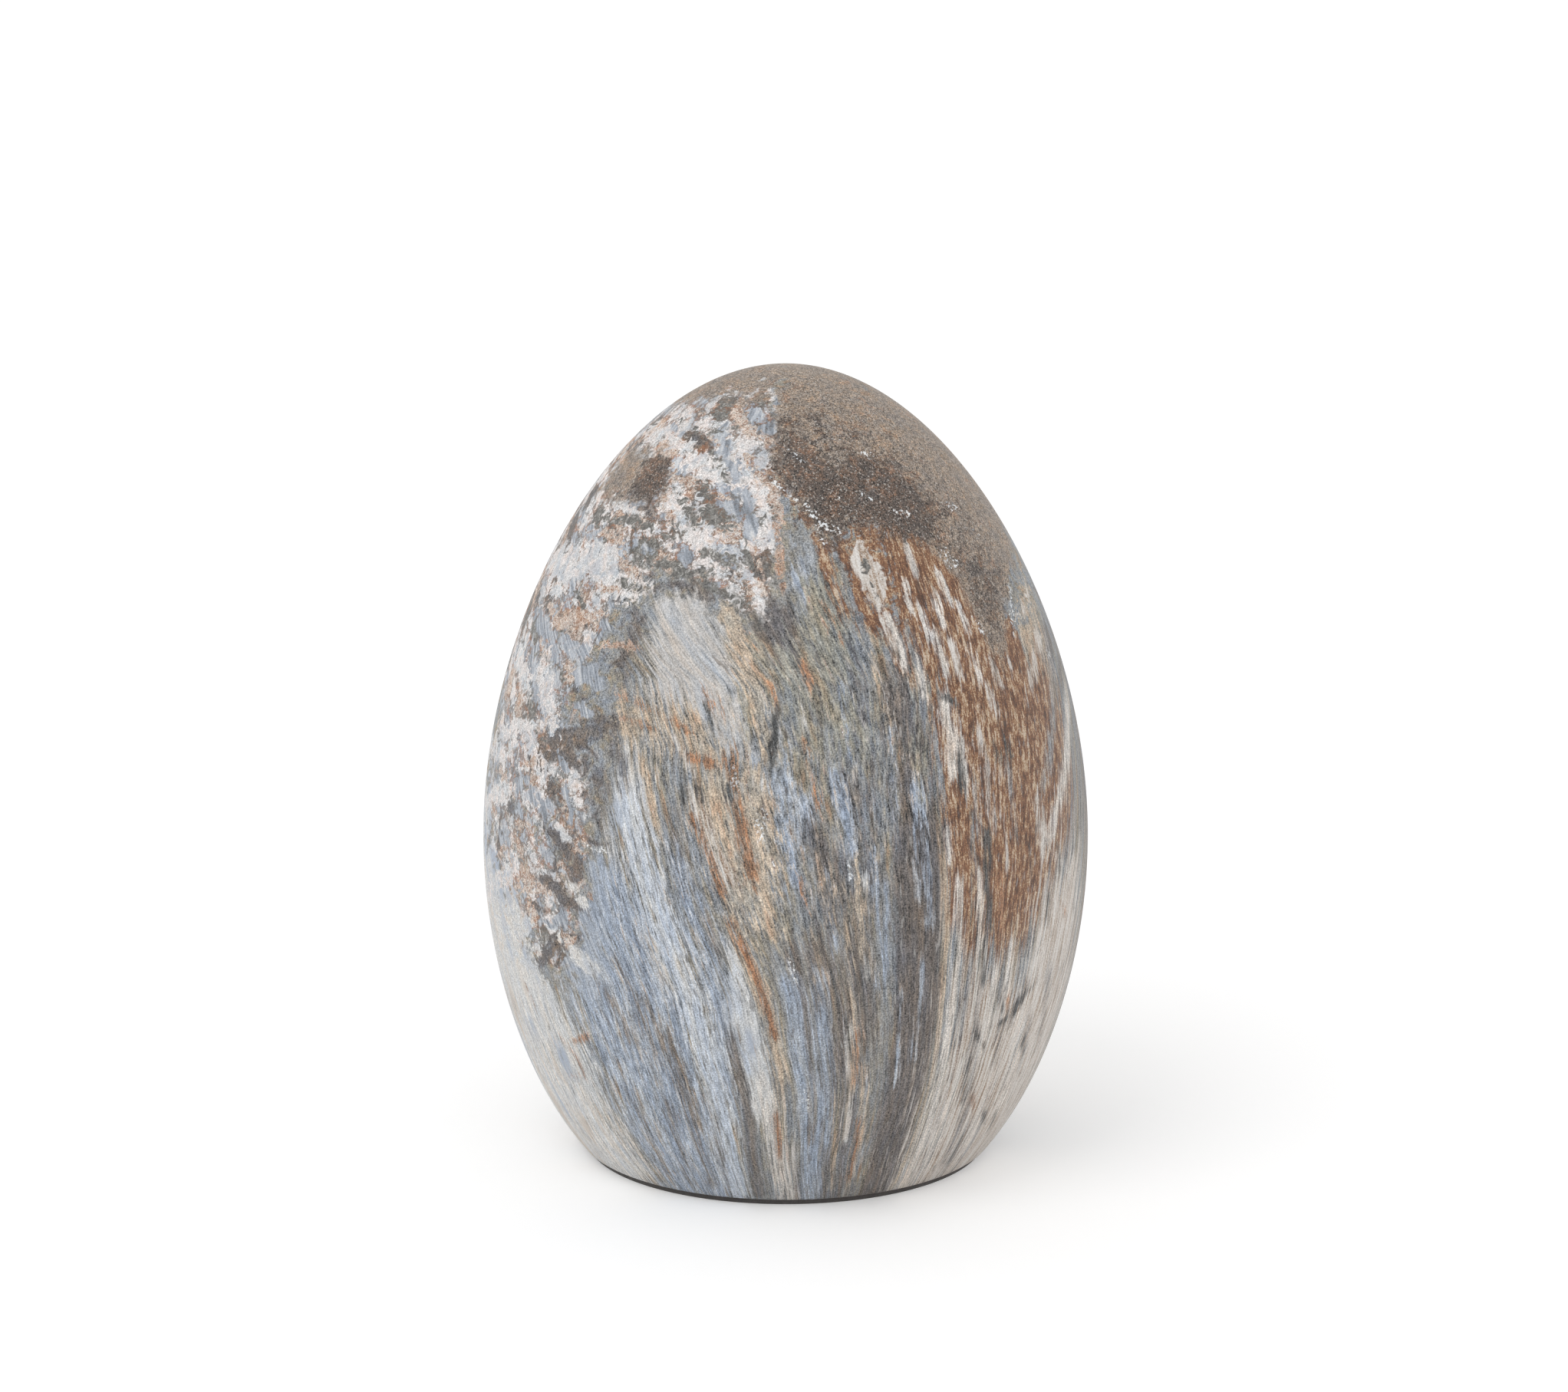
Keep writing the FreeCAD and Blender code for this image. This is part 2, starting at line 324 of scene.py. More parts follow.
# Where each kind of stone lies
# A stroke is (width in mm, strength, then its points), and a patch is (soft edge in mm, strength,
# then its corners). A point or corner is (longitude in degrees, height in mm).
strokes = {
    "taupe": [
        (2, 0.6, (-38, 30), (-35, 20), (-33, 10)),
        (2.4, 0.55, (-31, 50), (-27, 34)),
        (1.6, 0.65, (-26, 40), (-23, 24)),
        (3, 0.5, (-37, 54), (-33, 42)),
        (1.4, 0.6, (-30, 26), (-27, 14)),
        (1.4, 0.6, (-18, 36), (-15.4, 22)),
        # Upper left
        (4.5, 0.95, (-50, 78), (-44, 79.5), (-37, 82)),
        (4.5, 0.95, (-54, 74), (-47, 76)),
        (3.6, 0.8, (-43, 76), (-37, 72)),
        (5, 0.8, (-41, 104), (-31, 103.6), (-21, 103)),
        (5, 0.6, (-50, 95), (-41, 92)),
        (4, 0.6, (-43, 99.5), (-38, 96)),
        (3, 0.8, (-49, 86.4), (-45, 84.6)),
        (2.4, 0.6, (-72, 114), (-64, 112.6)),
        # Knots on the left
        (3.4, 1, (-50, 62.6), (-46, 61), (-42.5, 59)),
        (3.2, 1, (-51, 54.4), (-46, 53.4), (-40, 51)),
        (2.2, 1, (-47.4, 57.6), (-45, 55)),
        (2.8, 1, (-54.6, 40), (-50, 43.2), (-45, 45.6), (-41, 46.8)),
        (1.2, 0.9, (-54, 50), (-50.6, 49.2)),
        (1.6, 0.8, (-49, 40.6), (-46.6, 42.6)),
        (2, 0.8, (-39.6, 69.4), (-37, 66)),
        (1.6, 0.9, (-38.6, 63.2), (-36, 63)),
        (2.4, 0.55, (-70, 61.4), (-64, 62.6)),
        # Lower left
        (4.5, 0.7, (-23.6, 30), (-22, 18), (-20.5, 4)),
        (3, 0.6, (-34, 22), (-30.6, 13), (-28, 4)),
        (2, 0.55, (-36, 34), (-32, 22)),
        (3, 0.8, (-22.6, 70), (-20.4, 64), (-18.4, 57)),
        (2.4, 0.75, (-18, 56), (-15.4, 47), (-13.6, 40)),
        (3, 0.95, (-10.8, 31), (-9.4, 25), (-7.8, 20)),
        (2.2, 0.75, (-13, 39), (-11, 32)),
        (2, 0.65, (-8.8, 18), (-8, 8)),
        # Middle
        (2.4, 1, (-12.4, 58.4), (-9.4, 55.4)),
        (4.6, 1, (6, 67.4), (8.8, 62.4)),
        (1.5, 0.95, (-4, 58.4), (-2.6, 55)),
        (3.4, 0.95, (1.4, 48), (3, 42), (4.6, 34)),
        (4, 0.9, (8, 45), (10, 37), (11.4, 28)),
        (2.2, 0.7, (4.8, 30), (6, 20)),
        (1.4, 0.7, (3, 9), (3.6, 0)),
        (2.4, 0.7, (10.6, 79), (12, 72)),
        (2.8, 0.7, (14, 100), (16.4, 88), (17, 78)),
        (2.2, 0.6, (6, 86), (8, 76)),
        (1.6, 0.75, (2, 76), (3, 68)),
        (2.6, 0.6, (16, 74), (17, 62)),
        # Right limb
        (5, 0.9, (66, 78), (71, 84), (79, 88)),
        (4, 0.85, (58, 66), (64, 72), (74, 80), (84, 84)),
        (0.9, 0.95, (36.2, 18), (35.4, 11), (34.6, 4)),
    ],
    "sky": [
        # Hatched patches of the upper left
        (3.4, 1, (-31, 124.6), (-22, 121.6), (-15, 117.6), (-10.6, 113)),
        (2, 0.8, (-22, 112), (-14, 108)),
        (3.2, 0.95, (-76, 108.5), (-66, 108)),
        (4.6, 0.95, (-73, 92.6), (-62, 92.2), (-53, 91.6)),
        (5, 0.9, (-69, 87), (-63, 84)),
        (4, 0.85, (-50, 92), (-45, 96)),
        (3, 1, (-47.6, 88.6), (-45, 88)),
        (1.8, 0.95, (-45.4, 83.6), (-43.6, 82.4)),
        (2.4, 0.9, (-45.4, 109.2), (-40, 108)),
        (1.2, 0.95, (-49.6, 75.4), (-47.6, 73.6)),
        (2, 0.8, (-65, 124.6), (-56, 124.2)),
        (4, 0.8, (-60, 69), (-52, 66.4)),
        (3, 0.7, (-48, 72), (-44, 66)),
        (4, 0.7, (-70, 58.4), (-64, 56.4)),
        (3, 0.7, (-52, 47), (-46, 49.4)),
        (4, 0.7, (-47, 36), (-43, 27)),
        # Between the streaks
        (3.4, 0.95, (-12, 91), (-9.8, 86), (-7.4, 80.4)),
        (2.4, 0.85, (-16, 57), (-13.6, 47), (-11.6, 38)),
        (2.2, 0.75, (1, 80), (3, 72)),
        (2.2, 0.95, (9.4, 77), (11.2, 69.6), (12.4, 65)),
        (2, 0.75, (12, 90), (13, 80)),
        (1.6, 0.75, (5, 80), (6.4, 72)),
        (1.8, 0.75, (-3, 78), (-1, 62)),
        (2, 0.85, (7.6, 60), (9.4, 49)),
        (3, 0.9, (0.6, 42), (2.4, 31), (4, 22)),
        (3, 0.9, (4, 22), (5.8, 10), (7, 0)),
        (2.4, 0.85, (5.4, 43), (7.4, 30), (9.4, 14)),
        (2, 0.9, (26.2, 73), (26.8, 62), (27.2, 52)),
        (1.4, 0.8, (21.6, 82), (21.8, 70)),
        (1.4, 0.75, (24.6, 66), (25, 56)),
        (1.4, 0.7, (26, 44), (26, 28)),
        (1.2, 0.65, (22.6, 40), (22.6, 24)),
        (1.4, 0.8, (16.4, 64), (17.6, 42)),
        (1.2, 0.75, (18.6, 58), (19, 40)),
        (1.6, 0.7, (16, 30), (17.4, 8)),
    ],
    "mist": [
        (6.5, 0.6, (-27, 62), (-20, 45), (-15.4, 27), (-13, 8)),
        (5, 0.6, (-34, 65), (-28, 57)),
        (2.4, 0.95, (-9.4, 47), (-8.4, 41), (-7, 34)),
        (5.2, 1.25, (-8.2, 36), (-6.4, 29), (-5, 22)),
        (2.8, 1, (-44.4, 56), (-41.6, 53.6)),
        (3, 1, (-44, 44), (-39, 42)),
        (1.6, 0.7, (2, 91), (3.4, 84)),
        (1.4, 0.7, (-5, 76), (-3, 64)),
        (1.6, 0.7, (-15.4, 30), (-12.6, 14)),
        (4, 0.95, (53.6, 29), (55.6, 22), (57, 15)),
        (1, 0.7, (14.6, 60), (15.6, 44)),
        (0.9, 0.6, (12.4, 34), (13, 14)),
    ],
    "ice": [
        (5, 1, (-29.4, 68), (-26.2, 58.5), (-22, 50.2), (-18.5, 39.3), (-15.3, 29.5), (-13.7, 18.8),
         (-12.6, 3)),
        (2.4, 0.7, (-17.6, 26), (-16, 14), (-15.6, 3)),
        (2.2, 0.8, (-9.6, 44), (-8.6, 36), (-7.4, 28)),
        (1.6, 0.7, (-37, 40), (-33.6, 30), (-31, 20)),
    ],
    "smoke": [
        (3, 0.9, (-22.7, 31), (-20.8, 24.4), (-19.2, 17)),
        (2.2, 0.75, (-33.5, 43.8), (-27, 36.9), (-22.5, 25.7), (-20.2, 13.4), (-19.2, 4)),
        (2, 0.75, (-30.3, 39.5), (-26.5, 28.2), (-25, 17.7), (-25.4, 4)),
        (2.4, 1, (-10, 32.7), (-8.5, 25.3), (-7.4, 14.3), (-7, 3)),
        (1.5, 0.75, (-38.5, 41.6), (-34.5, 35.9), (-31.5, 30.4)),
        (2, 0.65, (-19, 63.8), (-15, 54.9), (-11.8, 46.1)),
        (1.6, 0.7, (-36, 26), (-33, 14), (-31, 3)),
        (1.4, 0.75, (-16, 22), (-15, 10), (-15, 1)),
        (1.6, 0.7, (3.4, 44), (4.6, 30), (5.6, 14)),
        (1.4, 0.7, (9, 30), (10, 14), (10.4, 0)),
        (3.2, 0.85, (4.4, 66), (7, 60), (8.6, 54)),
        (2.4, 0.75, (10, 60), (11.6, 50), (13, 40)),
        (2, 0.75, (14.6, 56), (15.4, 44), (16, 32)),
        (2.2, 0.75, (5, 48), (6.4, 38)),
        (1.6, 0.8, (-5.6, 78), (-3.6, 73)),
        (3.4, 0.85, (-43, 80), (-37, 80.4), (-34, 76.6)),
        (2.6, 0.75, (-39, 74.4), (-35, 73)),
    ],
    "olive": [
        (5, 0.85, (0.6, 93), (2, 87), (3.6, 80)),
        (3, 0.7, (-9, 89), (-6, 80)),
        (4, 0.6, (-3, 66), (0, 54)),
        (3, 0.55, (42, 47), (47, 43)),
        (2.6, 0.6, (57, 78), (57, 70)),
        (1.6, 0.75, (27, 96), (27.6, 84), (28, 76)),
        (2.4, 0.6, (26.6, 82), (26.8, 72)),
    ],
    "tan": [
        (3.6, 1, (-13.4, 101), (-9.4, 95), (-5.6, 88), (-4.2, 82)),
        (2.2, 0.8, (-4.4, 82), (-3.6, 75)),
        (1.9, 1, (-28.8, 77), (-26.6, 73.2), (-24.8, 67.6)),
        (3.4, 0.8, (-33, 84.6), (-26, 83.6), (-19, 82)),
        (3, 0.95, (-8.8, 52), (-4.8, 42), (-1.8, 33), (-0.6, 27)),
        (2.4, 0.8, (-3.2, 34), (-2, 24), (-1.4, 14), (-0.2, 7)),
        (1.2, 0.75, (11, 53), (12.6, 38)),
        (1.2, 0.75, (13, 63), (14, 46)),
        (1.6, 0.8, (12.6, 39), (14.2, 24)),
        (1.3, 0.8, (16, 27), (17, 5)),
        (1.2, 0.65, (10.6, 22), (11.6, 4)),
        (1.4, 0.95, (31, 62), (31.2, 34), (30.6, 12), (29.8, 0)),
        (4, 0.85, (62, 49), (66, 44.6)),
        (2.4, 0.75, (62, 75), (67, 79)),
        (4, 0.5, (-68, 46), (-61, 50)),
        (4, 0.5, (-45, 14), (-39, 8)),
        (3, 0.5, (-80, 30), (-72, 24)),
        (5, 0.75, (62, 90), (70, 95), (80, 98)),
        (1.2, 0.7, (20, 96), (20.6, 84)),
    ],
    "bark": [
        (2, 1, (15.4, 110), (17.4, 105), (19.8, 100.6)),
        (2.6, 0.9, (17, 112.2), (22, 113.6), (28, 111.6)),
        (2.2, 1, (28.8, 110), (29.6, 104), (28.6, 98.6)),
        (1.6, 0.85, (24.8, 98), (25.4, 92)),
        (1.4, 0.8, (27.4, 97), (27.8, 90)),
        (3, 0.95, (-3, 119.6), (3, 117), (8, 113.8), (10, 111)),
        (3, 0.85, (10, 110), (12, 106), (13.6, 102)),
        (2.6, 0.95, (34.2, 55.6), (34.8, 50), (35.8, 45.6)),
        (1.6, 0.7, (36.6, 40), (36.4, 30)),
        (1.4, 0.7, (36, 28), (36.4, 20)),
    ],
    "cream": [
        (3, 0.8, (0.4, 12), (1.4, 0)),
        (2.6, 0.9, (-17.4, 73), (-14.4, 67), (-11.6, 61)),
        (1.2, 0.8, (-22, 81), (-17.6, 76)),
        (1.2, 0.9, (23.4, 99.6), (23.9, 96.4)),
        (1.4, 0.95, (40, 93.6), (40.2, 90)),
        (1.3, 0.9, (50, 90), (52, 86)),
        (1.3, 0.9, (54, 91.6), (56, 88.6)),
        (1.3, 0.8, (46, 87), (48.6, 82.4)),
        (1.3, 0.8, (42, 80), (43.4, 74)),
        (3.4, 0.85, (64, 85.6), (68.6, 88.6), (72, 90)),
        (1.3, 0.8, (42, 73), (42.4, 64)),
        (1.3, 0.8, (45.6, 66), (45.8, 58)),
        (3, 0.8, (56, 66), (57, 58)),
        (1.5, 0.95, (3.4, 126.9), (9.4, 125.9), (14, 124.8), (15.4, 123)),
        (3, 0.7, (69, 95), (78, 97)),
    ],
    "chalk": [
        (2.08, 0.95, (33.8, 57), (33.4, 42), (33.4, 26), (33, 12), (32.6, 0)),
        (1.12, 1, (38.7, 58), (38.9, 46)),
        (1.76, 0.9, (37.8, 19), (37.4, 0)),
        (3.2, 0.78, (-4, 25), (-2.8, 15), (-1.4, 5), (-1, 0)),
        (2.6, 1.25, (34.8, 85.4), (35, 80), (34.7, 76.4)),
        (0.72, 1, (36.5, 76.4), (36.9, 72.4)),
        (0.64, 1, (37.7, 79), (37.4, 73.6)),
        (0.56, 1, (30, 92.6), (30.3, 87.6)),
        (0.56, 1, (31.8, 66), (31.9, 61.6)),
        (1.36, 1, (35.6, 109), (35.7, 106)),
        (1.28, 1, (31.3, 103.8), (31.5, 100)),
        (1.12, 1, (42.4, 104.4), (42.6, 100.6)),
        (1.76, 1, (38.8, 101), (39.2, 97.6)),
        (1.52, 1, (33.8, 99.6), (34.6, 95.6)),
        (1.84, 1, (35.6, 95.6), (36.6, 90.6)),
        (1.36, 1, (45.1, 99.6), (45.5, 96)),
        (0.88, 1, (44.4, 92.6), (45.2, 88.6)),
        (0.88, 1, (25.2, 100), (26, 96), (26.4, 93)),
        (4, 0.9, (60, 60.4), (66, 66.4), (72, 72), (80, 78)),
        (4, 1, (53.6, 29), (55.6, 22), (57, 15)),
        (0.96, 0.9, (43, 40), (43.4, 24)),
        (0.8, 0.9, (47, 44), (47.2, 32)),
        (1.12, 0.8, (49, 20), (50, 8)),
        (3, 0.7, (62, 56), (68, 52)),
    ],
    "mauve": [
        (2.4, 0.8, (41, 30), (43, 18), (44, 6)),
        (2.6, 0.85, (46, 36), (48, 24)),
        (3, 0.9, (50, 31), (54.4, 36)),
        (3, 0.8, (57, 28), (60, 20)),
        (3.4, 0.9, (60, 70), (68, 78), (78, 88)),
        (1.6, 0.8, (36.4, 44), (36.2, 30)),
        (1.2, 0.8, (39.6, 40), (39.6, 24)),
        (2, 0.7, (46.6, 12), (47, 2)),
        (1.4, 0.7, (52, 10), (52.6, 1)),
        (3, 0.7, (62, 36), (66, 24)),
        (1.2, 0.8, (42.8, 78), (43.2, 66)),
        (1, 0.8, (38.8, 74), (39, 64)),
        (1.2, 0.8, (48.4, 74), (48.6, 62)),
    ],
    "quartz": [
        (4, 0.95, (-82, 60), (-68, 66)),
        (5, 0.95, (-84, 86), (-70, 84)),
        (4, 0.9, (-86, 70), (-74, 71)),
        (4, 0.95, (-74, 75), (-62, 78)),
        (5, 0.85, (-80, 46), (-66, 52)),
        (5.6, 1.1, (-81, 101.4), (-70, 103), (-60, 104), (-50, 103.6), (-45, 103)),
        (3.4, 0.95, (-62, 105.8), (-52, 105.6)),
        (3.6, 0.95, (-81, 122.6), (-60, 123), (-45, 122.6)),
        (2.4, 1, (-57.6, 113), (-50, 112.8)),
        (4.4, 1.1, (-35, 120.8), (-28, 119.8)),
        (5, 0.9, (-38, 116), (-30, 113)),
        (2.6, 0.85, (-44, 121.8), (-36, 122)),
        (3, 1, (-16, 121.6), (-9.4, 117.6), (-5.2, 112)),
        (2.6, 1, (-10.4, 106.8), (-8.2, 104.4), (-6, 101.6)),
        (6, 0.95, (-61, 86), (-57, 83)),
        (4, 0.9, (-63, 76), (-56, 73)),
        (3, 0.85, (-28, 115), (-22, 110.6)),
        (2.4, 0.8, (-20, 111), (-16, 108.6)),
        (2.4, 0.75, (-40, 115), (-34, 111)),
        (3, 0.8, (-76, 97), (-70, 98)),
        (1.6, 0.8, (-15, 107), (-11.4, 105)),
    ],
    "rust": [
        (2.4, 0.9, (-22, 126.4), (-8, 124.6)),
        (2, 0.85, (-8, 129), (0, 127.4)),
        (1.4, 0.8, (-44, 125.4), (-30, 124)),
        (2.6, 1, (-69, 95.6), (-60, 95), (-50, 97.4)),
        (2.2, 1, (-60, 108.6), (-52, 107.8), (-42, 105)),
        (1.8, 0.95, (-46, 120), (-40, 118.2), (-34, 118)),
        (2.6, 0.85, (-45, 116.4), (-37, 113.6)),
        (1.8, 0.95, (-29, 117.8), (-21, 116.8)),
        (2.8, 0.95, (-13, 121.4), (-6, 119), (-2.6, 115)),
        (1.7, 0.9, (-3.6, 114.6), (-1.4, 110), (-0.8, 105)),
        (1.8, 0.8, (-8.8, 110), (-5, 106)),
        (1.8, 1, (-42.4, 93.6), (-36, 94)),
        (1.1, 0.95, (-52, 101.6), (-46, 102)),
        (1.2, 0.9, (-62, 71.4), (-57.6, 72.8)),
        (2.2, 0.75, (-74, 68), (-66, 66.6)),
        (2.6, 0.9, (-57.4, 54.8), (-52, 53)),
        (1.8, 0.9, (-60.4, 51.8), (-55, 52.6)),
        (1.6, 0.8, (-64.4, 55.8), (-60, 53.6)),
        (1.3, 0.95, (-43.4, 57.4), (-39, 54.4)),
        (1.6, 0.85, (-46.6, 45), (-43.6, 46)),
        (1.8, 0.65, (-70, 53.8), (-65, 52)),
        (0.9, 0.85, (-62.8, 60.4), (-60.8, 57)),
        (0.8, 0.75, (-50.6, 26.4), (-48.6, 24.6), (-47, 21.6)),
        (1, 0.65, (-51, 20.4), (-48.6, 20.8)),
        (0.8, 0.75, (-47, 27.6), (-44.2, 28.6)),
        (0.9, 0.75, (-61, 33.6), (-60, 32)),
        (1.7, 0.75, (-36, 86.6), (-29, 85.4)),
        (1.3, 0.85, (-34, 83.4), (-28, 82.6)),
        (1, 0.8, (-24, 84.2), (-20, 82.8)),
        (2, 0.75, (-17.4, 88.6), (-14.8, 86.6)),
        (0.8, 1, (-18.6, 79), (-15, 78)),
        (1.4, 1, (-17.4, 69), (-14.2, 63.4), (-11.8, 58.4)),
        (3, 0.85, (-10.4, 77), (-8.6, 70), (-6.8, 62)),
        (1.5, 0.95, (-9, 72), (-7.4, 64), (-5.8, 59)),
        (1.5, 1, (-9.8, 52.6), (-7.8, 48.8), (-5.4, 43.6), (-3.6, 38.4), (-2.2, 34)),
        (1.2, 0.8, (-2, 18.4), (-1.2, 11)),
        (1.6, 0.8, (-9.6, 98.8), (-7.4, 96.4)),
        (1, 0.85, (-3, 90.4), (-2, 87)),
        (0.9, 0.85, (3.8, 81), (5.8, 73)),
        (1.5, 0.8, (3.8, 93), (5, 91)),
        (0.8, 0.8, (10, 101), (12.4, 97)),
        (0.7, 0.7, (3, 60), (4, 55)),
        (0.8, 0.75, (13.6, 33), (14.4, 25)),
        (0.8, 0.7, (15.6, 17), (16.2, 6)),
        (2, 0.9, (28.6, 122.6), (31.6, 121)),
        (0.8, 1, (19.4, 126.7), (20.6, 126.4)),
        (1.4, 0.75, (24, 117), (30, 115.6)),
        (1.6, 0.7, (44.6, 17.6), (45.8, 16)),
        (1, 0.7, (47.8, 34.6), (48.8, 32.4)),
        (1.4, 0.75, (64, 48), (66, 46)),
        (1.2, 0.7, (43.6, 56), (44.2, 48)),
    ],
    "slate": [
        (2.4, 0.9, (-57, 118), (-46, 117.6)),
        (2.3, 1, (-65.6, 110.8), (-55, 110.6), (-46, 111.4), (-42.4, 110.4)),
        (3, 1, (-40.6, 107), (-30, 106.8)),
        (2.6, 0.95, (-28.6, 106), (-22, 106.4)),
        (2, 0.95, (-20.6, 108.6), (-16, 108)),
        (2.4, 0.9, (-20.6, 104.6), (-12, 103)),
        (1.8, 0.85, (-14, 102.4), (-7.4, 100.4)),
        (1.9, 0.95, (-35, 116), (-28, 113.2)),
        (2.3, 1, (-24.4, 114.2), (-20.4, 113)),
        (1.7, 0.95, (-12.4, 110.4), (-9.6, 107.4)),
        (1.8, 0.95, (-60.4, 98.8), (-56, 97.8)),
        (1.8, 1, (-45.6, 103.2), (-40, 102.4)),
        (1, 0.9, (-68, 88.4), (-59, 88.4), (-55, 87.2)),
        (1.4, 0.85, (-50, 86), (-47, 85)),
        (1.2, 0.9, (-64, 125.6), (-42, 125), (-28, 125.8)),
        (1.1, 0.8, (-30, 122.4), (-22, 119.4)),
        (0.9, 0.8, (-19, 115), (-13, 111)),
        (1, 0.8, (-60, 77), (-55, 76.4)),
        (0.9, 0.8, (-67, 78.8), (-62, 79.4)),
        (1.2, 1, (-1.8, 86.6), (-2.6, 82)),
        (1.6, 0.9, (-2.6, 82), (-3.4, 77)),
        (1.6, 0.8, (-9.2, 99.4), (-5, 98.8)),
        (1.3, 0.9, (-17.2, 86.6), (-14, 83.2)),
        (0.9, 1, (-16.4, 74), (-15.8, 73)),
        (0.8, 0.95, (-11.2, 74.4), (-10.8, 73.4)),
        (0.8, 0.9, (-20, 74.8), (-19.8, 72.4)),
        (1.1, 0.95, (-5, 107.8), (-3.4, 106.4)),
        (1, 0.8, (21.2, 107.8), (22.2, 105.9)),
        (1, 0.82, (22, 106), (24.5, 104.2)),
        (1, 0.8, (23, 105.4), (23, 102.7)),
        (1.4, 1, (34.6, 86.8), (36.2, 86)),
        (1.1, 0.95, (35.8, 77), (36, 73)),
        (1.2, 0.9, (45.6, 77.4), (46.2, 75.4)),
        (1, 0.85, (49, 77.6), (49.4, 76)),
        (1.1, 1.2, (40.8, 64), (41.2, 60), (40.4, 56), (41.2, 49)),
        (0.7, 0.8, (38.4, 60.6), (40, 58.4)),
        (1, 0.8, (40, 46), (40.2, 40)),
        (1, 0.8, (62.4, 58), (63, 54)),
        (0.9, 0.8, (58.6, 50.6), (58.8, 46)),
        (0.9, 0.7, (52.4, 60), (52.8, 55)),
        (2.4, 1, (51, 33), (54.4, 34.8)),
        (1.4, 0.9, (47, 30.8), (51, 32)),
        (1.6, 0.85, (57.6, 25), (59, 23)),
        (1.5, 0.8, (40.6, 30), (43.4, 27.4)),
        (1.2, 0.8, (40.6, 25), (41, 18)),
        (1.3, 0.8, (45, 36.6), (46.6, 33.6)),
        (1.3, 0.8, (51.6, 12.8), (53.4, 11)),
        (1, 0.7, (46, 9.6), (46.4, 5)),
        (1, 0.7, (56.8, 12), (58.2, 9)),
        (2.6, 0.8, (35, 118.6), (47, 117)),
        (1.2, 0.7, (10.4, 46), (11, 41)),
    ],
    "frost": [
        (1.1, 1, (-2.4, 118.8), (0.4, 117.8), (3.6, 116.8)),
        (1.6, 1, (5.6, 116.4), (8.6, 115)),
        (1, 1, (9.6, 114), (10.6, 111.4)),
        (1.8, 1, (13.2, 113.4), (15.2, 112.4)),
        (1, 1, (5.4, 122.8), (6.6, 122.4)),
        (0.9, 0.9, (16, 117.4), (17, 117)),
        (1, 1, (26.6, 117.4), (28, 117)),
        (1, 1, (34.6, 122.2), (35.8, 121.8)),
        (1, 0.9, (23, 124.6), (25.4, 124.4)),
        (1.2, 0.95, (37.6, 114), (39, 113.4)),
        (1, 1, (48.4, 107.2), (49.6, 106.2)),
        (1, 1, (47, 106), (48, 105.4)),
        (1.2, 1, (49, 96), (50.6, 94.6)),
        (1.4, 1, (62.3, 93), (65, 96), (67.7, 98.8)),
        (0.9, 0.9, (59.6, 112.8), (60.4, 112.6)),
        (0.9, 0.9, (66, 107.6), (66.8, 107.4)),
        (0.8, 0.9, (75.4, 87.2), (76.6, 86.8)),
        (0.6, 1, (-9.6, 76), (-9, 74.6)),
        (0.6, 1, (-5.2, 69.4), (-4.6, 67.4)),
        (0.5, 0.95, (12, 62), (12.4, 60.6)),
        (0.5, 0.95, (1.4, 46), (1.6, 44.6)),
        (0.5, 0.8, (3.8, 23), (4, 21.6)),
        (0.6, 0.9, (-38.6, 62.4), (-36, 62)),
        (1.4, 0.9, (-9, 105.6), (-6.6, 102.6)),
    ],
}

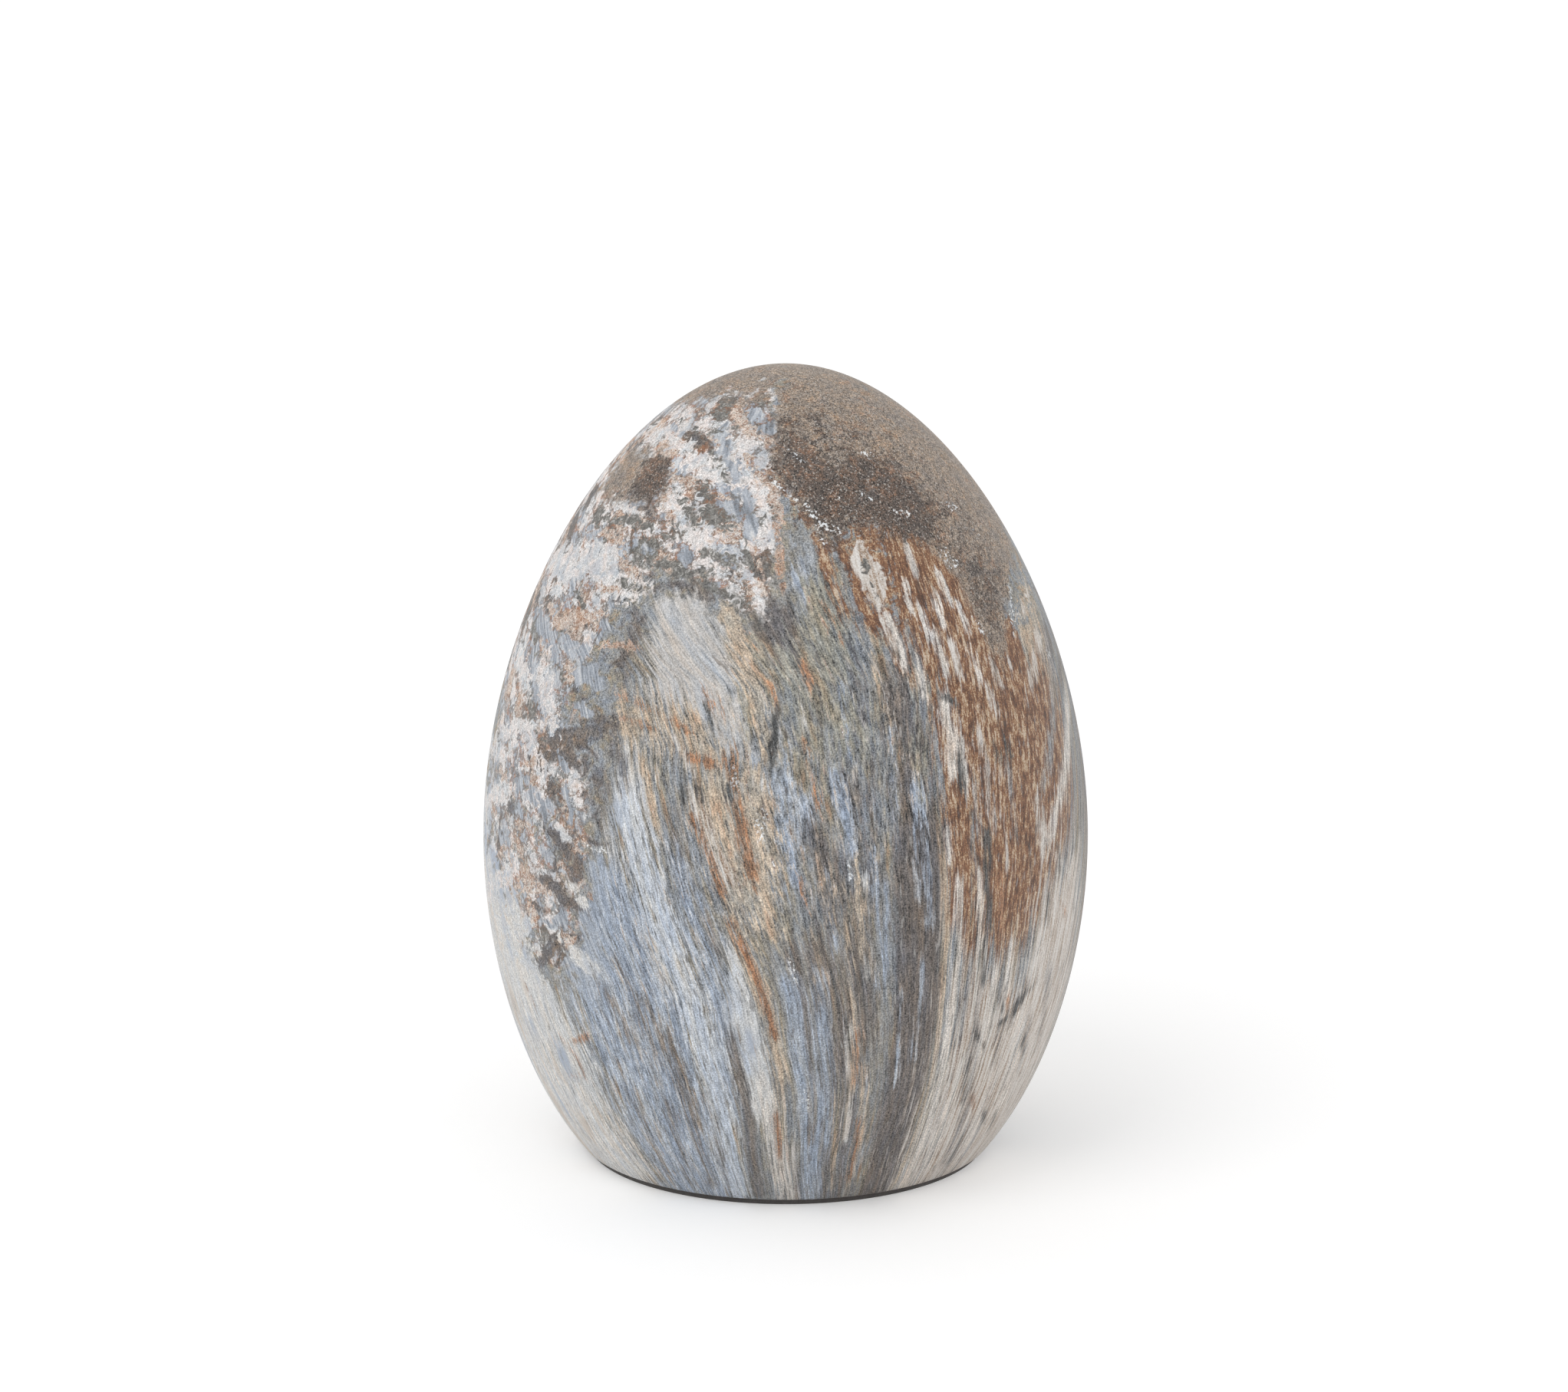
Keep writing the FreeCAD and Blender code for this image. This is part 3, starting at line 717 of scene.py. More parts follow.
patches = {
    "breccia": [
        (3, 1, (-110, 133), (-110, 92), (-84, 78), (-60, 68), (-52, 70), (-50, 84), (-46, 92),
         (-42, 101), (-36, 106), (-22, 105), (-12, 100.6), (-6, 101), (-3, 105), (-3, 118), (-5, 126),
         (-8, 133)),
        (4, 0.7, (-84, 80), (-84, 34), (-60, 38), (-42, 38), (-38, 60), (-40, 76), (-46, 84)),
        (8, 0.9, (-210, 122), (-150, 124), (-104, 126), (-100, 76), (-140, 66), (-172, 78), (-210, 92)),
    ],
    "mottled": [
        (5, 1, (-250, 133), (-250, 92), (-180, 76), (-110, 40), (-80, 34), (-58, 36), (-46, 38),
         (-40, 42), (-39, 62), (-37, 76), (-36, 84), (-38, 92), (-34, 102), (-24, 104), (-12, 100),
         (-4, 100), (0, 112), (8, 112), (17, 108), (22, 100), (28, 100), (29, 108), (34, 112),
         (46, 106), (52, 94), (62, 92), (110, 95), (110, 133)),
    ],
    "long": [
        (8, 1, (24, -2), (26, 58), (34, 60), (60, 58), (80, 84), (110, 84), (130, -2)),
        (8, 0.6, (-14, -2), (-10, 40), (24, 60), (24, -2)),
    ],
    "taupe": [
        (1.6, 1, (20.6, -2), (20.2, 30), (20.4, 66), (22, 70), (24, 72), (30.6, 72), (30.6, 60),
         (30.4, 30), (29.8, -2)),
        (3, 0.86, (20, 66), (20, 84), (22, 94), (29.6, 94), (30.6, 66)),
        (3, 0.85, (-9, 100.6), (-4, 103), (3, 103), (5, 98), (4, 93), (0, 91), (-5, 95.6)),
        (5, 0.5, (2, 94), (14, 96), (19, 86), (19, 64), (10, 66), (2, 78)),
        (6, 0.6, (76, 70), (76, 50), (76, 20), (80, -2), (112, -2), (118, 60), (110, 104), (84, 98),
         (80, 80)),
        (4, 0.5, (-44, 74), (-38, 60), (-40, 44), (-34, 46), (-30, 60), (-34, 76)),
        (4, 0.6, (1, 50), (3, -2), (20, -2), (20, 70), (10, 70)),
        (3, 0.55, (-34, 105), (-42, 100), (-44, 90), (-36, 86), (-30, 90), (-32, 100)),
    ],
    "sky": [
        (4, 0.8, (-46, 40), (-38, 62), (-30, 62), (-26, 56), (-20, 46), (-15, 26), (-10, -2), (-36, -2),
         (-40, 14)),
        (3, 0.66, (-23, 66), (-16, 64), (-9, 42), (-9, 30), (-8, -2), (-13, -2), (-16, 30), (-20, 46)),
        (2.4, 0.72, (1, 112), (5, 111), (8, 107), (9, 103), (4, 102), (0, 105)),
        (4, 0.6, (-6, 80), (4, 82), (6, 66), (4, 56), (-2, 56)),
        (4, 0.55, (0, 46), (10, 46), (12, -2), (2, -2)),
        (6, 0.7, (150, -2), (154, 44), (180, 50), (192, 30), (194, -2)),
    ],
    "mist": [
        (10, 0.7, (-150, -2), (-144, 60), (-110, 82), (-70, 66), (-70, -2)),
        (5, 0.96, (-104, -2), (-104, 34), (-84, 56), (-62, 52), (-56, 46), (-54, 42), (-56, 40),
         (-48, 34), (-43, 24), (-39, 12), (-36, -2)),
        (2.6, 0.85, (-35, 81), (-30, 79), (-26, 72), (-24, 65), (-28, 62), (-35, 67)),
    ],
    "haze": [
        (4, 1.12, (-33, 102), (-24, 102.4), (-15, 99), (-10.4, 91), (-6.6, 81), (-10, 79), (-18, 85),
         (-29, 87.6)),
    ],
    "olive": [
        (3, 0.85, (4, 106), (12, 108), (17, 100), (16, 92), (8, 90), (4, 96)),
        (4, 0.6, (-3, 94), (10, 92), (20, 88), (20, 76), (4, 78), (-3, 84)),
    ],
    "tan": [
        (3, 0.85, (-20, 74), (-12, 79), (-5, 79), (-1, 66), (-0.6, 50), (-6, 50), (-10, 54), (-15, 62)),
        (3, 0.66, (-37, 88), (-22, 87), (-16, 87), (-10, 80), (-11, 73), (-20, 77), (-26, 79), (-37, 79)),
        (4, 0.26, (3, 66), (2, 40), (20, 40), (20, 66)),
        (4, 0.8, (56, 92), (58, 62), (66, 62), (74, 76), (80, 96), (66, 95)),
        (6, 0.7, (120, -2), (126, 60), (140, 96), (165, 90), (160, 40), (150, -2)),
    ],
    "bark": [
        (1.6, 1, (28, 116), (29.6, 96), (30.8, 90), (31.4, 76), (31.4, 64), (40, 70), (52, 72),
         (60, 78), (64, 86), (63, 95), (54, 96), (52, 98), (51, 101), (49, 105), (44, 109), (41, 112),
         (35, 115)),
        (6, 1, (33, 78), (35, 60), (36, 46), (46, 42), (56, 48), (68, 58), (74, 72), (72, 90), (50, 84)),
        (1.4, 0.9, (30.6, 70), (31, 52), (34, 46), (37, 52), (38, 70)),
        (9, 0.8, (150, 60), (158, 104), (185, 108), (195, 80), (188, 54), (168, 46)),
        (3, 0.72, (13.6, 104), (16, 98), (22, 96), (30, 94), (31, 108), (30, 114), (20, 114.6),
         (14, 110)),
    ],
    "cream": [
        (7, 0.95, (30, -2), (31, 26), (34, 40), (40, 44), (48, 38), (56, 52), (66, 58), (74, 54),
         (78, 30), (80, -2)),
        (9, 0.75, (196, -2), (190, 40), (196, 60), (222, 56), (228, 30), (226, -2)),
        (1.2, 0.9, (17.8, 107.6), (19.4, 111), (22.6, 110.2), (26, 107), (26.4, 103), (24.4, 100.8),
         (21, 101.8)),
    ],
    "crown": [
        (1.5, 1, (-180, 134), (-180, 131.4), (180, 131.4), (180, 134)),
        (1.5, 1, (-5, 134), (-5.4, 125), (-3, 119.4), (3, 117.2), (8, 114), (10, 111.4), (15, 111.4),
         (20, 115), (30, 113), (40, 110.8), (45, 106.4), (48, 103.4), (49, 98), (51, 92), (54, 89),
         (58, 92.6), (62, 96.6), (70, 100), (80, 102.4), (88, 134)),
        (5, 1, (68, 134), (74, 101), (90, 105), (110, 107), (150, 112), (190, 118), (230, 122),
         (270, 126), (300, 129), (340, 129.6), (345, 134)),
        (4, 1, (-80, 120.6), (-60, 121), (-50, 119.6), (-45, 117.6), (-48, 114.8), (-60, 114.2),
         (-72, 113.2), (-80, 113.6)),
    ],
    "umber": [
        (4, 1, (-6, 128), (-4.8, 120), (3, 116.8), (8, 112.6), (14.6, 110.4), (19, 113.4), (28, 111.4),
         (38, 109.4), (44, 108.4), (48, 107), (51, 112), (50, 117), (43, 121.6), (30, 122.6),
         (20, 121.6), (14, 124), (6, 126.8), (0, 128)),
        (8, 0.5, (-6, 131), (-4, 118), (20, 112), (45, 106), (58, 99), (68, 102), (72, 110), (64, 119),
         (46, 126), (20, 130.4)),
        (3, 0.6, (41, 110), (46, 106.4), (48, 101), (48.4, 95), (50, 89), (54, 87), (57, 92), (62, 97),
         (70, 101), (68, 105), (60, 106), (54, 108), (48, 110.6)),
        (2.4, 1, (-62, 120), (-50, 120.6), (-44, 118), (-48, 114.4), (-60, 114.8)),
    ],
}

# Each kind is laid over the ones before it
kinds = (
    "breccia", "taupe", "sky", "mist", "ice", "smoke", "haze", "olive", "tan", "bark", "cream", "mauve",
    "chalk", "quartz", "rust", "slate", "crown", "umber", "frost",
)

# The grain runs up from the base and fans out: to the left on the left side, and to the right on
# the right side. A table gives the turn in degrees at each height, and another the share of it by
# the longitude where the line of grain starts. Each table is a row of places and a row of values.
left_turn = (
    (0, 10, 25, 40, 50, 65, 75, 80, 90, 100, 110, 120, 133),
    (0, 2, 4.5, 8, 12, 17, 21, 22.5, 29, 45, 60, 78, 95),
)
left_share = (
    (-180, -100, -60, -35, -20, 0, 5, 10, 20, 28, 120, 180),
    (0.6, 1.3, 1.6, 1.5, 1.2, 1, 1, 0.8, 0.35, 0, 0, 0.6),
)
right_turn = ((0, 25, 50, 75, 100, 133), (0, 1, 8, 20, 34, 42))
right_share = ((-180, 28, 45, 60, 75, 100, 150, 180), (0, 0, 0.3, 0.9, 1.2, 1, 0.2, 0))
grain_search_reach = 200  # degrees to either side
grain_search_steps = 24

# Streaks of the far side, which has no drawn ones: kind, how many, width
far_streaks = (
    ("taupe", 16, 3.4), ("sky", 16, 3.2), ("mist", 12, 3.2), ("tan", 16, 2.6), ("cream", 12, 2.4),
    ("rust", 12, 1.3), ("slate", 12, 1.3), ("chalk", 8, 2.0), ("mauve", 10, 3.0),
)
far_longitudes = (90, 266)
far_heights = (-6, 86)
far_lengths = (10, 46)
far_width_shares = (0.5, 1.5)
far_strengths = (0.7, 1.0)
far_seed = 7

# How strokes are laid: lengths in mm, and shares of a stroke's width or strength
longest_step = 3.0
narrowest_stroke = 1.5
end_stretch = 2.2
stroke_share = 0.8
fade_reach = 1.3  # widths from a stroke's line at which next to nothing of it is left

# How the grain and the layout wander: size of the waves and their reach in mm, and a seed
slow_sway = (22.0, 1.2, 3)
quick_sway = (7.0, 0.12, 4)
slow_ripple = (7.0, 1.0, 1)
quick_ripple = (2.6, 0.7, 2)
wander_steps = (37.1, 11.7, 5.3)  # how far apart in the noise two seeds lie
calm_share = 0.2  # how much of the layout's wandering is left where the grain runs straight


def vertex_places(mesh):
    flat = np.empty(len(mesh.vertices) * 3)
    mesh.vertices.foreach_get("co", flat)
    return flat.reshape(-1, 3) / mm


def meridian(places):
    """Radius and length along the side, from the base, at each height of the outside."""
    front = places[(np.abs(places[:, 0]) < weld_distance) & (places[:, 1] <= 0)]
    outline = np.stack([-front[:, 1], front[:, 2]], axis=1)
    outline = outline[np.argsort(outline[:, 1])]
    steps = np.hypot(*np.diff(outline, axis=0).T)
    return outline[:, 1], outline[:, 0], np.concatenate([[0], np.cumsum(steps)])


def wandering(places, size, reach, seed):
    """Smooth random shifts of the places, in millimetres."""
    offset = Vector([seed * step for step in wander_steps])
    shifts = [noise.noise_vector(Vector(place) / size + offset) for place in places]
    return np.array(shifts) * reach


def leaned(longitudes, heights):
    """Where the lines of grain that start at these longitudes of the base are at these heights."""
    start = (longitudes + 180) % 360 - 180
    left = np.interp(start, *left_share) * np.interp(heights, *left_turn)
    right = np.interp(start, *right_share) * np.interp(heights, *right_turn)
    return longitudes - left + right


def grain_longitude(longitudes, heights):
    """The longitude at which each point's line of grain meets the base, found by halving."""
    low = longitudes - grain_search_reach
    high = longitudes + grain_search_reach
    for halving in range(grain_search_steps):
        middle = (low + high) / 2
        beyond = leaned(middle, heights) > longitudes
        high = np.where(beyond, middle, high)
        low = np.where(beyond, low, middle)
    return middle


class Surface:
    """The decorated side of the shell, for finding how far its points are from a drawn line."""

    def __init__(self, outline, places):
        self.heights, self.radii = outline[:2]
        self.places = places
        self.longitudes = np.degrees(np.arctan2(places[:, 0], -places[:, 1]))

    def at(self, longitude, height):
        radius = np.interp(height, self.heights, self.radii)
        turn = np.radians(longitude)
        return np.stack([radius * np.sin(turn), -radius * np.cos(turn), height], axis=-1)

    def line(self, points):
        """Places along a drawn line, close enough for it to follow the surface."""
        points = np.array(points, float)
        drawn = [points[:1]]
        for start, end in zip(points, points[1:]):
            length = np.linalg.norm(self.at(*end) - self.at(*start))
            turned = abs(end[0] - start[0]) * np.radians(1) * np.interp(start[1], self.heights, self.radii)
            count = max(1, math.ceil(max(length, turned) / longest_step))
            drawn.append(start + (end - start) * (np.arange(1, count + 1) / count)[:, None])
        drawn = np.concatenate(drawn)
        return self.at(drawn[:, 0], drawn[:, 1])

    def distance(self, line, chosen, end_stretch=1.0):
        """Distance from each chosen place to the line, measured shorter past its ends."""
        near = self.places[chosen]
        best = np.full(len(near), np.inf)
        for start, end in zip(line, line[1:]):
            length = np.linalg.norm(end - start)
            if length > 0:
                offset = near - start
                along = offset @ (end - start) / length
                past = np.clip(along - length, 0, None) + np.clip(-along, 0, None)
                aside = np.sqrt(np.clip((offset ** 2).sum(axis=1) - along ** 2, 0, None))
                best = np.minimum(best, np.hypot(aside, past / end_stretch))
        return best

    def stroke(self, width, strength, points):
        """Full strength on the line, half of it half a width away, and soft long ends."""
        seen_width = max(width, narrowest_stroke)
        line = self.line(points)
        middle = (line.min(axis=0) + line.max(axis=0)) / 2
        reach = np.linalg.norm(line - middle, axis=1).max() + fade_reach * seen_width * end_stretch
        chosen = np.linalg.norm(self.places - middle, axis=1) < reach
        field = np.zeros(len(self.places))
        share = 2 * self.distance(line, chosen, end_stretch) / seen_width
        field[chosen] = stroke_share * strength * np.exp2(-share ** 2)
        return field

    def patch(self, soft, strength, corners):
        heights = self.places[:, 2]
        inside = np.zeros(len(heights), bool)
        closed = list(corners) + [corners[0]]
        for turn in (-360, 0, 360):
            odd = np.zeros(len(heights), bool)
            for (lon_a, low), (lon_b, high) in zip(closed, closed[1:]):
                crossed = (low > heights) != (high > heights)
                meets = lon_a + (heights - low) / ((high - low) or 1) * (lon_b - lon_a)
                odd ^= crossed & (self.longitudes + turn < meets)
            inside |= odd
        distance = np.full(len(heights), np.inf)
        everywhere = np.ones(len(heights), bool)
        for start, end in zip(closed, closed[1:]):
            off_the_egg = min(start[1], end[1]) > crown_level or max(start[1], end[1]) < base_level
            if not off_the_egg:
                distance = np.minimum(distance, self.distance(self.line([start, end]), everywhere))
        signed = np.where(inside, distance, -distance)
        return strength * np.clip(0.5 + signed / (2 * soft), 0, 1)

    def painted(self, kind):
        """How strongly this kind of stone is drawn at each place."""
        field = np.zeros(len(self.places))
        for width, strength, *points in strokes.get(kind, []):
            field = np.maximum(field, self.stroke(width, strength, points))
        for soft, strength, *corners in patches.get(kind, []):
            field = np.maximum(field, self.patch(soft, strength, corners))
        return field


def store(mesh, name, values, chosen):
    """Stores a number or a vector at each chosen vertex, and zero at the others."""
    kind, field = ("FLOAT", "value") if values.ndim == 1 else ("FLOAT_VECTOR", "vector")
    whole = np.zeros((len(mesh.vertices), *values.shape[1:]))
    whole[chosen] = values
    mesh.attributes.new(name, kind, "POINT").data.foreach_set(field, whole.ravel())


def draw_far_streaks():
    """Adds streaks of each kind to the far side, each along its line of grain."""
    draw = np.random.default_rng(far_seed)
    for kind, count, width in far_streaks:
        for number in range(count):
            start = draw.uniform(*far_longitudes)
            low = draw.uniform(*far_heights)
            levels = low + draw.uniform(*far_lengths) * np.array((0.0, 0.5, 1.0))
            line = [(float(leaned(start, level)), float(level)) for level in levels]
            seen_width = width * draw.uniform(*far_width_shares)
            strokes[kind].append((seen_width, draw.uniform(*far_strengths), *line))


def lay_stone(mesh):
    """Stores on the shell where each kind of stone lies and how its grain runs."""
    decorated = np.empty(len(mesh.vertices))
    mesh.attributes["decorated"].data.foreach_get("value", decorated)
    chosen = decorated > 0.5
    places = vertex_places(mesh)[chosen]
    outline = meridian(places)

    swayed = places + wandering(places, *slow_sway) + wandering(places, *quick_sway)
    longitudes = np.degrees(np.arctan2(swayed[:, 0], -swayed[:, 1]))
    turn = np.radians(grain_longitude(longitudes, places[:, 2]))
    heights, radii, lengths = outline
    along = np.interp(swayed[:, 2], heights, lengths)
    grain = np.stack([radii.max() * np.sin(turn), -radii.max() * np.cos(turn), along], axis=1)
    store(mesh, "grain", grain, chosen)

    draw_far_streaks()
    still = Surface(outline, places)
    mottled = still.painted("mottled")
    store(mesh, "mottled", mottled, chosen)
    store(mesh, "long", still.painted("long"), chosen)
    restless = wandering(places, *slow_ripple) + wandering(places, *quick_ripple)
    surface = Surface(outline, places + restless * (calm_share + (1 - calm_share) * mottled)[:, None])
    for kind in kinds:
        store(mesh, kind, surface.painted(kind), chosen)


# Stone print

def colour(red, green, blue):
    """A colour as it is seen, from 0 to 255, made into the shader's own values."""
    shares = [value / 255 for value in (red, green, blue)]
    linear = [share / 12.92 if share <= 0.04045 else ((share + 0.055) / 1.055) ** 2.4 for share in shares]
    return (*linear, 1.0)


def ramp(tree, value, stops):
    made = node(tree, "ShaderNodeValToRGB", {0: value})
    elements = made.color_ramp.elements
    for extra in range(len(stops) - 2):
        elements.new(0.5)
    for element, (position, shade) in zip(elements, stops):
        element.position = position
        element.color = colour(*shade)
    return made.outputs["Color"]


def mixed(tree, factor, first, second, kind="RGBA"):
    made = node(tree, "ShaderNodeMix", {"Factor": factor}, data_type=kind)
    sockets = [socket for socket in made.inputs if socket.enabled and socket.name in "AB"]
    for socket, value in zip(sockets, (first, second)):
        if isinstance(value, bpy.types.NodeSocket):
            tree.links.new(value, socket)
        else:
            socket.default_value = value
    return next(socket for socket in made.outputs if socket.enabled)


noise_spread = 0.12
seed_steps = (17.3, 9.1, 5.7)  # how far apart in the noise two seeds lie
half_present = 0.53  # how strongly drawn a kind is where it covers half
edge_softness = 0.25
broad_kinds = ("taupe", "mist", "ice", "haze", "cream", "breccia", "crown", "sky")
speckled_kinds = ("crown", "umber")

# Each kind's contrast, then its colours from the coolest threads of it to the warmest
shades = {
    "ground": (0.20, (0.15, (140, 147, 157)), (0.4, (149, 152, 155)), (0.55, (148, 145, 140)),
               (0.68, (154, 148, 134)), (0.8, (162, 143, 122)), (0.97, (146, 118, 98))),
    "olive": (0.20, (0.1, (146, 150, 150)), (0.5, (152, 150, 140)), (0.9, (160, 149, 128))),
    "taupe": (0.27, (0.2, (104, 103, 107)), (0.5, (111, 105, 102)), (0.75, (120, 108, 98)),
              (0.95, (128, 108, 90))),
    "sky": (0.16, (0.12, (138, 150, 168)), (0.42, (160, 171, 187)), (0.68, (182, 188, 196)),
            (0.92, (162, 152, 142))),
    "mist": (0.10, (0.1, (204, 208, 213)), (0.45, (217, 217, 216)), (0.75, (225, 220, 213)),
             (0.95, (217, 202, 186))),
    "tan": (0.19, (0.1, (170, 167, 160)), (0.4, (184, 173, 158)), (0.65, (194, 175, 154)),
            (0.95, (181, 148, 122))),
    "ice": (0.11, (0.1, (182, 194, 211)), (0.45, (200, 207, 217)), (0.75, (212, 214, 215)),
            (0.95, (208, 202, 194))),
    "smoke": (0.24, (0.2, (112, 114, 121)), (0.5, (119, 115, 113)), (0.8, (128, 116, 105))),
    "haze": (0.09, (0.1, (180, 186, 194)), (0.5, (197, 195, 193)), (0.9, (202, 191, 180))),
    "chalk": (0.13, (0.1, (206, 204, 204)), (0.5, (220, 214, 207)), (0.9, (214, 198, 184))),
    "mauve": (0.20, (0.1, (146, 148, 153)), (0.5, (158, 152, 148)), (0.9, (164, 146, 130))),
    "quartz": (0.09, (0.1, (207, 212, 217)), (0.4, (225, 223, 222)), (0.7, (234, 225, 221)),
               (0.95, (219, 202, 189))),
    "rust": (0.26, (0.1, (136, 110, 90)), (0.5, (150, 112, 86)), (0.8, (168, 122, 90)),
             (0.95, (190, 150, 118))),
    "slate": (0.30, (0.2, (76, 80, 82)), (0.6, (84, 82, 80)), (0.9, (100, 88, 78))),
    "crown": (0.22, (0.15, (137, 127, 119)), (0.5, (150, 136, 123)), (0.8, (157, 137, 118)),
              (0.98, (165, 134, 108))),
    "umber": (0.26, (0.15, (88, 80, 76)), (0.5, (94, 82, 74)), (0.75, (106, 86, 73)),
              (0.97, (132, 100, 78))),
    "frost": (0.10, (0.2, (226, 230, 234)), (0.8, (238, 237, 235))),
}

# Clasts of the breccia: their size across, back and up, and how far waves bend their edges
clast_sizes = (2.8, 2.8, 3.8)
clast_bend = 3.6


def stone_print(material):
    tree = emptied(material)
    objects = node(tree, "ShaderNodeTexCoord").outputs["Object"]
    place = node(tree, "ShaderNodeVectorMath", {0: objects, "Scale": per_metre}, operation="SCALE").outputs[0]
    grain = node(tree, "ShaderNodeAttribute", attribute_name="grain").outputs["Vector"]

    def held(name):
        return node(tree, "ShaderNodeAttribute", attribute_name=name).outputs["Fac"]

    def spread(vector, sizes, seed, detail, rough=0.55, twist=0.0):
        """Noise round zero, mostly between -1 and 1, with features of these sizes."""
        shifted = node(tree, "ShaderNodeVectorMath", {
            0: vector, 1: [1 / size for size in sizes], 2: [seed * step for step in seed_steps],
        }, operation="MULTIPLY_ADD").outputs[0]
        value = node(tree, "ShaderNodeTexNoise", {
            "Vector": shifted, "Scale": 1.0, "Detail": detail, "Roughness": rough, "Distortion": twist,
        }).outputs["Fac"]
        return calc(tree, "DIVIDE", calc(tree, "SUBTRACT", value, 0.5), noise_spread)

    def streaks(across, along, seed, detail=2.0, rough=0.55):
        return spread(grain, (across, across, along), seed, detail, rough)

    def blots(size, seed, detail=2.0, rough=0.55, twist=1.0):
        return spread(place, (size, size, size), seed, detail, rough, twist)

    mottled = held("mottled")
    long_grain = held("long")

    def pattern(short, long, blot):
        """Dashes that turn into long streaks, or into blots where the stone is mottled."""
        return mixed(tree, mottled, mixed(tree, long_grain, short, long, "FLOAT"), blot, "FLOAT")

    def total(*terms):
        """The sum of values, each with its share."""
        result = None
        for share, value in terms:
            part = calc(tree, "MULTIPLY", value, share)
            result = part if result is None else calc(tree, "ADD", result, part)
        return result

    def lifted(level, *terms):
        """A level with values added to it, each with its share."""
        return calc(tree, "ADD", total(*terms), level)

    def times(first, second):
        return calc(tree, "MULTIPLY", first, second)

    def rising(value, low, high):
        """0 at the low value, 1 at the high one, and a smooth change between."""
        return node(tree, "ShaderNodeMapRange", {
            0: value, 1: low, 2: high,
        }, clamp=True, interpolation_type="SMOOTHSTEP").outputs[0]

    def scaled(shade, factor):
        return node(tree, "ShaderNodeVectorMath", {0: shade, "Scale": factor}, operation="SCALE").outputs[0]

    # Each noise takes its sizes in millimetres, a seed, and then its detail and roughness
    dash = pattern(
        streaks(0.3, 2.6, 1, 2.0, 0.8), streaks(0.32, 8.0, 2, 2.0, 0.8),
        total((0.8, blots(0.5, 3, 2.0, 0.75))),
    )
    thread = pattern(
        streaks(0.7, 7.0, 4, 2.0), streaks(0.8, 22.0, 5, 3.0, 0.65),
        total((0.6, blots(1.5, 6, 3.0, 0.6))),
    )
    tint = pattern(
        streaks(1.3, 10.0, 7, 4.0, 0.65), streaks(1.0, 26.0, 8, 4.0, 0.65), blots(2.6, 9, 4.0, 0.6),
    )
    fine_edge = pattern(
        streaks(0.55, 7.0, 10, 4.0, 0.75), streaks(0.5, 18.0, 11, 4.0, 0.7),
        blots(1.7, 12, 2.0, 0.5, 1.5),
    )
    broad_edge = pattern(
        streaks(0.8, 12.0, 13, 4.0, 0.75), streaks(0.7, 24.0, 14, 4.0, 0.7), blots(2.6, 15, 3.0, 0.5),
    )
    strays = mixed(tree, mottled, streaks(0.5, 3.6, 16, 2.0), blots(1.0, 17), "FLOAT")
    grit = spread(place, (0.24, 0.24, 0.24), 18, 1.0)
    cloud = spread(place, (11.0, 11.0, 11.0), 19, 2.0)
    relief = total((1.8, dash), (0.6, thread), (1.2, grit))
    hue = lifted(0.5, (0.25, tint), (0.05, dash))

    def plain_shade(kind):
        """A kind's own colours, with fine relief."""
        contrast, *stops = shades[kind]
        gain = lifted(1.0, (contrast, relief))
        return scaled(ramp(tree, hue, stops), gain)

    def bark_shade():
        """Brown bark with short pale flecks along the grain."""
        fleck = streaks(0.5, 2.3, 20, 4.0, 0.72)
        value = lifted(0.41, (0.2, fleck), (0.14, dash), (0.05, thread), (0.09, tint), (0.08, grit))
        return ramp(tree, value, (
            (0.06, (84, 60, 48)), (0.3, (122, 87, 66)), (0.45, (148, 106, 77)), (0.54, (172, 137, 106)),
            (0.63, (198, 172, 144)), (0.86, (216, 199, 179)),
        ))

    def cream_shade():
        """Cream wood with long brown lines."""
        line = streaks(0.4, 12.0, 21, 3.0, 0.7)
        value = lifted(0.62, (0.2, line), (0.14, dash), (0.07, thread), (0.08, tint), (0.07, grit))
        return ramp(tree, value, (
            (0.06, (104, 88, 78)), (0.24, (146, 120, 100)), (0.38, (182, 162, 144)), (0.5, (204, 192, 181)),
            (0.66, (217, 210, 203)), (0.9, (232, 228, 223)),
        ))

    def mist_shade():
        """Pale stone with slow veils, warm and cool."""
        veil = spread(grain, (8.0, 8.0, 22.0), 33, 3.0, 0.6)
        shade = mixed(tree, rising(veil, 0.3, 1.9), plain_shade("mist"), colour(212, 199, 185))
        return mixed(tree, rising(veil, -0.1, -1.5), shade, colour(178, 188, 203))

    def quartz_shade():
        """White stone with blue-grey shadows."""
        shadow = times(rising(blots(4.0, 34, 3.0, 0.55), -0.1, 1.3), 0.6)
        return mixed(tree, shadow, plain_shade("quartz"), colour(180, 188, 198))

    def veined_shade():
        """Pale stone with thin rust veins."""
        vein = calc(tree, "ABSOLUTE", total((1.0, blots(1.4, 22, 3.0, 0.6, 2.0)), (0.1, dash)))
        gain = lifted(1.0, (0.09, relief))
        pale = ramp(tree, hue, ((0.2, (208, 198, 190)), (0.6, (220, 206, 194)), (0.9, (208, 180, 158))))
        return scaled(mixed(tree, rising(vein, 0.34, 0.08), pale, colour(150, 104, 76)), gain)

    def crumbed_shade():
        """Dark grey crumbs, a few of them pale."""
        crumb = lifted(0.5, (0.24, blots(0.8, 23, 3.0, 0.7)), (0.1, dash), (0.04, grit))
        return ramp(tree, crumb, (
            (0.1, (82, 82, 79)), (0.42, (112, 110, 106)), (0.6, (136, 134, 129)), (0.74, (162, 160, 156)),
            (0.9, (206, 204, 201)),
        ))

